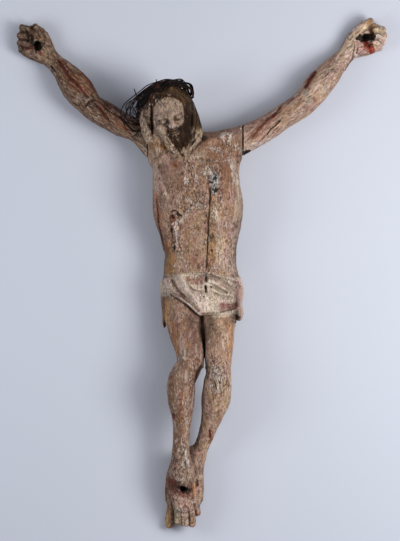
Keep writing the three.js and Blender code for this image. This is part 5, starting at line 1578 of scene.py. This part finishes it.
arms = {}
for name, node, clay, low, high in (
    (
        "right_arm_carving", "right_arm",
        carve_arm(
            RIGHT_ARM, RIGHT_PALM, RIGHT_THUMB, RIGHT_THUMB_WEB, RIGHT_FINGERS, RIGHT_ARM_RELIEF,
            [split([[-132, 806], [-170, 832], [-196, 846]], 2, 2.5)],
            ((-335, 980), (-325, 970)), lambda q: q[:, 0] - (RIGHT_SEAM_X - SEAM_GAP),
        ),
        [-384, 716, -10], [-96, 1034, 92],
    ),
    (
        "left_arm_carving", "left_arm",
        carve_arm(
            LEFT_ARM, LEFT_PALM, LEFT_THUMB, LEFT_THUMB_WEB, LEFT_FINGERS, LEFT_ARM_RELIEF,
            [split([[140, 826], [164, 838]], 2, 2.5)],
            ((324, 995), (333, 985)), lambda q: (LEFT_SEAM_X + SEAM_GAP) - q[:, 0],
        ),
        [76, 726, -10], [388, 1038, 94],
    ),
):
    made = carved_piece(name, clay, low, high, ARM_CELL, MOST_TRIANGLES, lambda q: flaked(q, 11))
    arms[node] = made
    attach(made[0], "root")
    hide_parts(node)

arm, places, normals = arms["right_arm"]
color = np.tile(np.array(RIGHT_ARM_FLESH_AND_SHADE, float), (len(places), 1))
color = washed(color, places, normals, [
    ([(66, 92), (78, 104), (90, 116), (118, 134)], 8, 0.5, (124, 104, 90)),
    ([(74, 80), (92, 94)], 12, 0.6, (140, 88, 56)),
    ([(82, 72), (92, 84)], 9, 0.5, (112, 68, 50)),
    ([(80, 99), (94, 98)], 8, 0.65, (156, 140, 124)),
    ([(112, 118), (128, 130)], 9, 0.65, (152, 100, 66)),
    # painted shadow of the crown and hair on the top of the upper arm
    ([(112, 106), (134, 122)], 9, 0.6, (84, 54, 42)),
    ([(130, 134), (142, 144)], 13, 0.6, (158, 138, 116)),
    ([(46, 50), (52, 58)], 10, 0.5, (146, 124, 106)),
    ([(24, 24), (38, 30), (48, 40)], 7, 0.4, (120, 96, 74)),
    ([(20, 50), (34, 56), (46, 60)], 6, 0.45, (128, 108, 92)),
    ([(30.5, 34), (32.5, 38), (31.5, 43)], [8, 8, 7], 0.9, (46, 30, 22)),
    ([(42, 36), (44, 42)], 4, 0.6, (84, 62, 44)),
    ([(34.5, 38), (39, 39.5)], 5, 0.8, (152, 108, 88)),
    ([(34, 46), (37, 50)], 6, 0.6, (74, 48, 40)),
    ([(39, 50), (42, 55)], 6, 0.7, (128, 86, 80)),
    ([(24, 48), (31, 48)], 3, 0.7, (130, 78, 66)),
    ([(41, 33), (44, 42)], 5, 0.4, (92, 70, 52)),
    ([(22, 26), (30, 29)], 5, 0.5, (132, 114, 88)),
    ([(18, 36), (26, 37)], 4, 0.4, (130, 108, 84)),
    ([(22, 27), (34, 31), (42, 36)], 6, 0.5, (138, 120, 98)),
    ([(18, 34), (24, 35)], 5, 0.6, (148, 122, 98)),
    ([(18, 41), (24, 42)], 5, 0.6, (146, 120, 100)),
    ([(30, 33), (33, 35)], 6, 0.7, (150, 110, 88)),
    ([(28, 50), (42, 58), (52, 66)], 6, 0.55, (156, 136, 116)),
    ([(44, 44), (50, 50)], 8, 0.5, (146, 124, 108)),
    ([(96, 118), (116, 130)], 6, 0.3, (132, 112, 96)),
], seed=320)
put_color(arm.data, "wash", color)
put(arm.data, "streaky", np.ones(len(places)))
put(arm.data, "rough", np.full(len(places), 0.75))
put(arm.data, "less_hollow_shade", 0.5 * smooth_step(-300, -320, places[:, 0]))
put(arm.data, "bare", brushed(places, normals, [
    ([(70, 76), (94, 100)], 12, 0.5),
    ([(100, 110), (130, 134)], 12, 0.5),
], seed=340))
put(arm.data, "chalk", brushed(places, normals, [
    ([(80, 99), (94, 98)], 5, 0.5),
    ([(132, 132), (142, 146)], 10, 0.45),
    ([(46, 52), (54, 58)], 6, 0.4),
    ([(100, 122), (120, 136)], 4, 0.25),
], seed=350))
put(arm.data, "blood", brushed(places, normals, [
    ([(58, 60), (68, 75), (77, 85), (88, 97)], [3.5, 4, 3.5, 2.5], 0.8),
    ([(62, 60), (70, 70), (78, 80)], 2, 0.6),
    ([(55, 60), (60, 70), (66, 80)], 1.6, 0.5),
    ([(70, 84), (80, 93)], 1.8, 0.55),
    ([(82, 73), (90, 82), (95, 91)], 2.4, 0.6),
    ([(95, 104), (103, 113), (111, 122)], [2.4, 3, 2], 0.8),
    ([(98, 101), (108, 110)], 1.8, 0.6),
    ([(122, 126), (136, 140), (146, 146)], 1.6, 0.55),
    ([(104, 98), (112, 103)], 2.4, 0.6),
    ([(90, 84), (95, 92)], 3, 0.55),
    ([(38, 50), (41, 54)], 4, 0.42),
    ([(26, 48), (31, 48)], 2.4, 0.55),
    ([(22.5, 46), (21.5, 51)], 1.6, 0.5),
], seed=360))
put(arm.data, "black", brushed(places, normals, [
    ([(34, 43), (37, 43.5), (38, 47)], [5, 8, 7], 1.0),
    ([(30.5, 35), (32, 38), (31, 42)], [3.4, 3.6, 2.4], 0.7),
    ([(35, 48), (35.8, 52)], 2.2, 0.85),
    ([(41, 41), (44, 43)], 2.4, 0.6),
    ([(22, 23.4), (29, 25), (36.4, 27.4)], 1.0, 0.5),
    ([(120, 117), (127, 125), (133, 131.5), (140, 131.7)], 1.8, 0.9),
    ([(86, 107), (89, 102), (96, 100)], 1.8, 0.75),
    ([(51, 66), (52.5, 68)], 2.6, 0.8),
    ([(54, 69.5), (55, 71)], 2.2, 0.7),
    ([(17.5, 47), (20, 44.5), (22.5, 47), (21.5, 51), (18.5, 50.5)], 1.3, 0.8),
    # painted shade between the curled fingers
    ([(17.5, 33), (21, 31.5), (26, 32.5)], 1.3, 0.5),
    ([(17.5, 39.5), (21, 38), (26, 39)], 1.5, 0.5),
    ([(26, 30), (28.5, 36), (28, 42)], [2, 3, 2], 0.8),
    ([(21, 25), (27, 26), (34, 30)], 1.2, 0.6),
    ([(84, 96), (88, 98)], 2.0, 0.6),
    ([(149, 137), (147, 148), (150, 157)], 1.8, 0.9),
    ([(100, 92), (114, 104), (128, 112)], 2.2, 0.5),
], rag=0.5, seed=380))
arm.data.materials.append(
    worn_paint("carved_wood_right_arm", math.radians(-50), (184, 160, 140), (146, 94, 62), (48, 28, 20), 0.3)
)

arm, places, normals = arms["left_arm"]
color = np.tile(np.array(LEFT_ARM_FLESH, float), (len(places), 1))
color = washed(color, places, normals, [
    ([(250, 146), (290, 136), (312, 120)], 7, 0.6, (198, 182, 172)),
    ([(254, 128), (276, 118), (300, 100)], 9, 0.5, (142, 106, 88)),
    ([(254, 137), (262, 126), (281, 106)], 5, 0.6, (128, 82, 60)),
    ([(284, 104), (296, 98)], 6, 0.5, (134, 98, 88)),
    ([(306, 88), (314, 73)], 5, 0.6, (120, 62, 46)),
    ([(316, 86), (330, 96), (340, 84)], 8, 0.4, (190, 172, 158)),
    ([(318, 102), (330, 96)], 8, 0.5, (160, 122, 92)),
    ([(306, 92), (309, 102)], 7, 0.6, (186, 176, 166)),
    ([(338, 60), (352, 46)], 8, 0.4, (190, 172, 160)),
    ([(360, 22), (374, 28), (380, 34)], 8, 0.35, (176, 150, 122)),
    ([(348, 50), (358, 58)], 10, 0.5, (212, 188, 178)),
    ([(352, 34), (364, 28), (380, 40)], 15, 0.65, (214, 192, 176)),
    ([(369, 22), (371.5, 26), (372, 31)], 5, 0.8, (158, 122, 84)),
    # painted shade between the thumb and the index finger
    ([(370, 29), (373, 33)], 3, 0.7, (96, 68, 48)),
    ([(358, 43), (363, 48)], 8, 0.6, (212, 172, 164)),
    ([(364, 32), (368, 33)], 4, 0.6, (204, 166, 160)),
    ([(376, 22), (383, 27)], 5, 0.6, (206, 186, 168)),
    ([(346, 34), (356, 26), (366, 20)], 5, 0.4, (192, 172, 154)),
    ([(375, 30), (383, 31)], 4, 0.6, (212, 190, 160)),
    ([(374, 37), (383, 38)], 4.5, 0.6, (206, 182, 172)),
    ([(246, 130), (262, 140)], 8, 0.4, (150, 118, 98)),
], seed=420)
put_color(arm.data, "wash", color)
put(arm.data, "streaky", np.ones(len(places)))
put(arm.data, "rough", np.full(len(places), 0.4))
put(arm.data, "less_hollow_shade", 0.6 * smooth_step(300, 320, places[:, 0]))
put(arm.data, "bare", brushed(places, normals, [
    ([(252, 134), (284, 108)], 10, 0.4),
    ([(304, 88), (318, 70)], 8, 0.4),
], seed=440))
put(arm.data, "chalk", brushed(places, normals, [
    ([(250, 148), (290, 136), (312, 118)], 6, 0.5),
    ([(312, 86), (326, 84), (340, 74)], 8, 0.4),
    ([(362, 50), (356, 54)], 6, 0.6),
    ([(372, 26), (384, 34)], 8, 0.4),
], seed=450))
put(arm.data, "blood", brushed(places, normals, [
    ([(305, 88), (310, 80), (315, 72)], [2.5, 3.5, 3], 0.8),
    ([(253, 137), (261, 127), (271, 117), (281, 107)], [2, 3, 3, 2], 0.6),
    ([(273, 117), (280, 108)], 2.5, 0.65),
    ([(288, 104), (293, 99)], 2.2, 0.5),
    ([(248, 140), (255, 134)], 1.6, 0.5),
    ([(355, 44), (353, 58), (345, 71)], 1.6, 0.6),
    ([(360, 53), (362, 56)], 2.5, 0.5),
    ([(362, 41.5), (368, 43)], 3, 0.6),
    ([(356, 50), (358, 53)], 1.6, 0.5),
], seed=460))
put(arm.data, "fresh", brushed(places, normals, [
    ([(365, 42.5), (369, 46), (372, 50.5)], [5, 8, 6], 0.72),
    ([(364, 47), (368, 50)], 3, 0.45),
    ([(357, 46), (360, 50)], 2.0, 0.4),
], seed=470))
put(arm.data, "black", brushed(places, normals, [
    ([(357.5, 38), (361, 37), (367, 37), (371.5, 37)], [3, 8, 9, 8], 0.95),
    ([(368.5, 44), (370.5, 47)], 1.4, 0.6),
    ([(267, 135), (270, 130), (275, 126), (280, 121)], [1.2, 1.7, 1.4, 1.8], 0.9),
    ([(262, 139), (265, 137)], 1.2, 0.7),
    ([(325, 76.5), (334, 68.5)], 1.4, 0.6),
    ([(244.5, 153), (248.5, 151.5)], [4, 4.5], 1.0),
    ([(243, 126), (243, 153)], 1.6, 0.9),
    ([(290, 140), (310, 128)], 1.6, 0.45),
    # painted shade between the curled fingers
    ([(374, 34.5), (379, 33), (384.5, 36)], 1.4, 0.5),
    ([(374, 40.5), (378, 39.5), (382.5, 43)], 1.6, 0.5),
    ([(374, 27.5), (379, 26.5), (384, 29)], 1.2, 0.35),
    ([(355, 26), (361, 20), (367, 17)], 1.2, 0.6),
    ([(358, 47), (357, 53)], 1.0, 0.7),
], rag=0.5, seed=480))
arm.data.materials.append(
    worn_paint("carved_wood_left_arm", math.radians(50), (218, 204, 194), (160, 114, 82), (88, 58, 44), 0.3)
)


# Crown of wire

WIRE_RADIUS = 1.05
BUNDLE = 15
SLACK_LOOPS = 10
CROWN_TIP = math.radians(62)
CROWN_ROLL = math.radians(12)
crown_side = head_side * math.cos(CROWN_ROLL) + head_up * math.sin(CROWN_ROLL)
over_head = head_up * math.cos(CROWN_ROLL) - head_side * math.sin(CROWN_ROLL)
crown_front = head_front * math.cos(CROWN_TIP) + over_head * math.sin(CROWN_TIP)
crown_up = np.cross(crown_side, crown_front)
CROWN_CENTRE = np.array([-70.0, 850.0, 95.0])
SLACK_SIDE = 2.85
LOOSE_ENDS = [
    ([(158, 88), (157, 85), (156.6, 80.5)], 118),
    ([(188, 84), (191, 89), (192, 94), (194, 99)], 122),
    ([(139, 131), (136, 135), (132, 137)], 84),
    ([(137, 97), (135.5, 93), (134.5, 89.5)], 100),
]
NAPE_SLIP = 6


def outside_hair(starts, directions, gap):
    """The first place outside the hair on each way out from the crown's middle."""
    reach = np.arange(0, 110, 1.0)
    points = starts[:, None] + directions[:, None] * reach[None, :, None]
    d = body_clay.distance(points.reshape(-1, 3).astype(np.float32)).reshape(len(starts), -1)
    first = np.argmax(d > gap, axis=1)
    return starts + directions * reach[first][:, None]


def wire_tube(path, radius, closed, sides=6):
    """The vertices and faces of a round wire, a ring or a length with two closed ends."""
    path = np.asarray(path, float)
    n = len(path)
    ahead = np.roll(path, -1, 0) - np.roll(path, 1, 0) if closed else np.gradient(path, axis=0)
    tangent = ahead / np.linalg.norm(ahead, axis=1)[:, None]
    normal = np.cross(tangent, [0.31, 0.22, 0.92])
    normal /= np.linalg.norm(normal, axis=1)[:, None]
    other = np.cross(tangent, normal)
    turn = np.arange(sides) * 2 * math.pi / sides
    ring = normal[:, None] * np.cos(turn)[None, :, None] + other[:, None] * np.sin(turn)[None, :, None]
    vertices = (path[:, None] + ring * radius).reshape(-1, 3)
    faces = []
    for i in range(n if closed else n - 1):
        for k in range(sides):
            a, b = i * sides + k, i * sides + (k + 1) % sides
            c, d = (i + 1) % n * sides + k, (i + 1) % n * sides + (k + 1) % sides
            faces.append((a, b, d, c))
    if not closed:
        faces.append(tuple(range(sides))[::-1])
        faces.append(tuple(range((n - 1) * sides, n * sides)))
    return vertices, faces


random = np.random.default_rng(7)
angles = np.linspace(0, 2 * math.pi, 90, endpoint=False)
wires = []
for loop in range(BUNDLE + SLACK_LOOPS):
    behind = np.maximum(0, -np.sin(angles))
    above = np.maximum(0, np.sin(angles + 0.2))
    phase, second = random.uniform(0, 2 * math.pi, 2)
    spread = 9 * np.sin(angles * random.integers(1, 3) + phase) + 5 * np.sin(3 * angles + second)
    over = spread * (1 - 0.75 * behind) - NAPE_SLIP * behind + 4 * above
    out = 1.2 + 2.2 * (1 + np.sin(3 * angles + phase)) + 6 * (loop % BUNDLE) / BUNDLE * above ** 0.5
    if loop >= BUNDLE:
        hang = (loop - BUNDLE + 1) / SLACK_LOOPS
        out = out + 36 * hang * np.maximum(0, np.cos(angles - SLACK_SIDE - random.uniform(-0.3, 0.3))) ** 4
        over = over + 9 * np.sin(2 * angles + second) * np.maximum(0, np.cos(angles - SLACK_SIDE))
    corner = np.exp(-(((angles - 0.52) / 0.24) ** 2)) * random.uniform(0, 1)
    out = out + 14 * corner
    starts = CROWN_CENTRE + over[:, None] * crown_up
    ways = np.cos(angles)[:, None] * crown_side + np.sin(angles)[:, None] * crown_front
    path = outside_hair(starts, ways, 1.6) + ways * out[:, None]
    for _ in range(2):
        path = (np.roll(path, 1, 0) + 2 * path + np.roll(path, -1, 0)) / 4
    path = np.clip(path, CAD_LOW + WIRE_RADIUS, CAD_HIGH - WIRE_RADIUS)
    wires.append(wire_tube(path, WIRE_RADIUS, True))

for line, height in LOOSE_ENDS:
    ends = [[*place, height] for place in from_photo(*line)]
    wires.append(wire_tube(smooth_through(ends, 6), WIRE_RADIUS, False))

vertices, faces, start = [], [], 0
for v, f in wires:
    vertices.append(v)
    faces += [tuple(i + start for i in face) for face in f]
    start += len(v)
crown_mesh = bpy.data.meshes.new("wire_crown")
crown_mesh.from_pydata(((np.vstack(vertices) + LAYOUT_TO_FRAME) * MM).tolist(), [], faces)
crown_mesh.polygons.foreach_set("use_smooth", [True] * len(crown_mesh.polygons))
crown = bpy.data.objects.new("wire_crown", crown_mesh)
bpy.context.scene.collection.objects.link(crown)

p = Painter("iron_wire")
rust = p.noise(7, 4, 0.6, seed=31)
color = p.mix(p.between(rust, 0.5, 0.7), srgb(12, 9, 8), srgb(80, 47, 36))
crown_mesh.materials.append(p.finish(color, p.between(rust, 0.4, 0.7, 0.45, 0.8), rust))
p.shader.inputs["Metallic"].default_value = 0.3
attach(crown, "root")
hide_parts("crown_of_thorns")


# Floor, light and camera

FLOOR_HALF = 6
FLOOR_GAP = 0.0005
floor_corners = np.array([[-1, -1, 0], [1, -1, 0], [1, 1, 0], [-1, 1, 0]], float) * FLOOR_HALF
floor_mesh = mesh_from("floor", floor_corners, np.array([[0, 1, 2, 3]]))
floor = bpy.data.objects.new("floor", floor_mesh)
floor.location.z = -FLOOR_GAP
bpy.context.scene.collection.objects.link(floor)
p = Painter("pale_floor")
p.shader.inputs["Specular IOR Level"].default_value = 0.1
floor_mesh.materials.append(
    p.finish(p.mix(p.noise(900, 2, 0.5), srgb(203, 208, 221), srgb(212, 216, 227)), 0.9, p.noise(40, 2, 0.5), 0.02)
)


def area_light(name, place, aim, size, power, tone):
    data = bpy.data.lights.new(name, "AREA")
    data.shape = "DISK"
    data.size = size
    data.energy = power
    data.color = tone
    obj = bpy.data.objects.new(name, data)
    bpy.context.scene.collection.objects.link(obj)
    obj.location = place
    way = np.array(aim, float) - np.array(place, float)
    obj.rotation_mode = "QUATERNION"
    obj.rotation_quaternion = Vector(way).to_track_quat("-Z", "Y")
    return obj


area_light("key", (1.25, -0.05, 1.35), (0, 0, 0), 0.9, 19, (1.0, 0.99, 0.97))
area_light("fill", (-1.3, 0.1, 1.1), (0, 0, 0), 0.9, 7, (0.97, 0.98, 1.0))
area_light("top", (1.3, 0.4, 2.2), (0, 0, 0), 1.4, 14, (1.0, 1.0, 1.0))
world = bpy.data.worlds.new("studio")
world.use_nodes = True
world.node_tree.nodes["Background"].inputs["Color"].default_value = (0.91, 0.93, 1.0, 1)
world.node_tree.nodes["Background"].inputs["Strength"].default_value = 0.3
bpy.context.scene.world = world
bpy.context.scene.view_settings.view_transform = "Standard"

CAMERA_HEIGHT = 10.0
PICTURE_HEIGHT = 1.082
MIDDLE_DEPTH = 0.055
camera_data = bpy.data.cameras.new("camera")
camera_data.sensor_width = 36
camera_data.lens = 36 * (CAMERA_HEIGHT - MIDDLE_DEPTH) / PICTURE_HEIGHT
camera_data.clip_end = 100
camera = bpy.data.objects.new("camera", camera_data)
bpy.context.scene.collection.objects.link(camera)
camera.location = (LAYOUT_TO_FRAME[0] * MM, (519 + LAYOUT_TO_FRAME[1]) * MM, CAMERA_HEIGHT)
bpy.context.scene.camera = camera
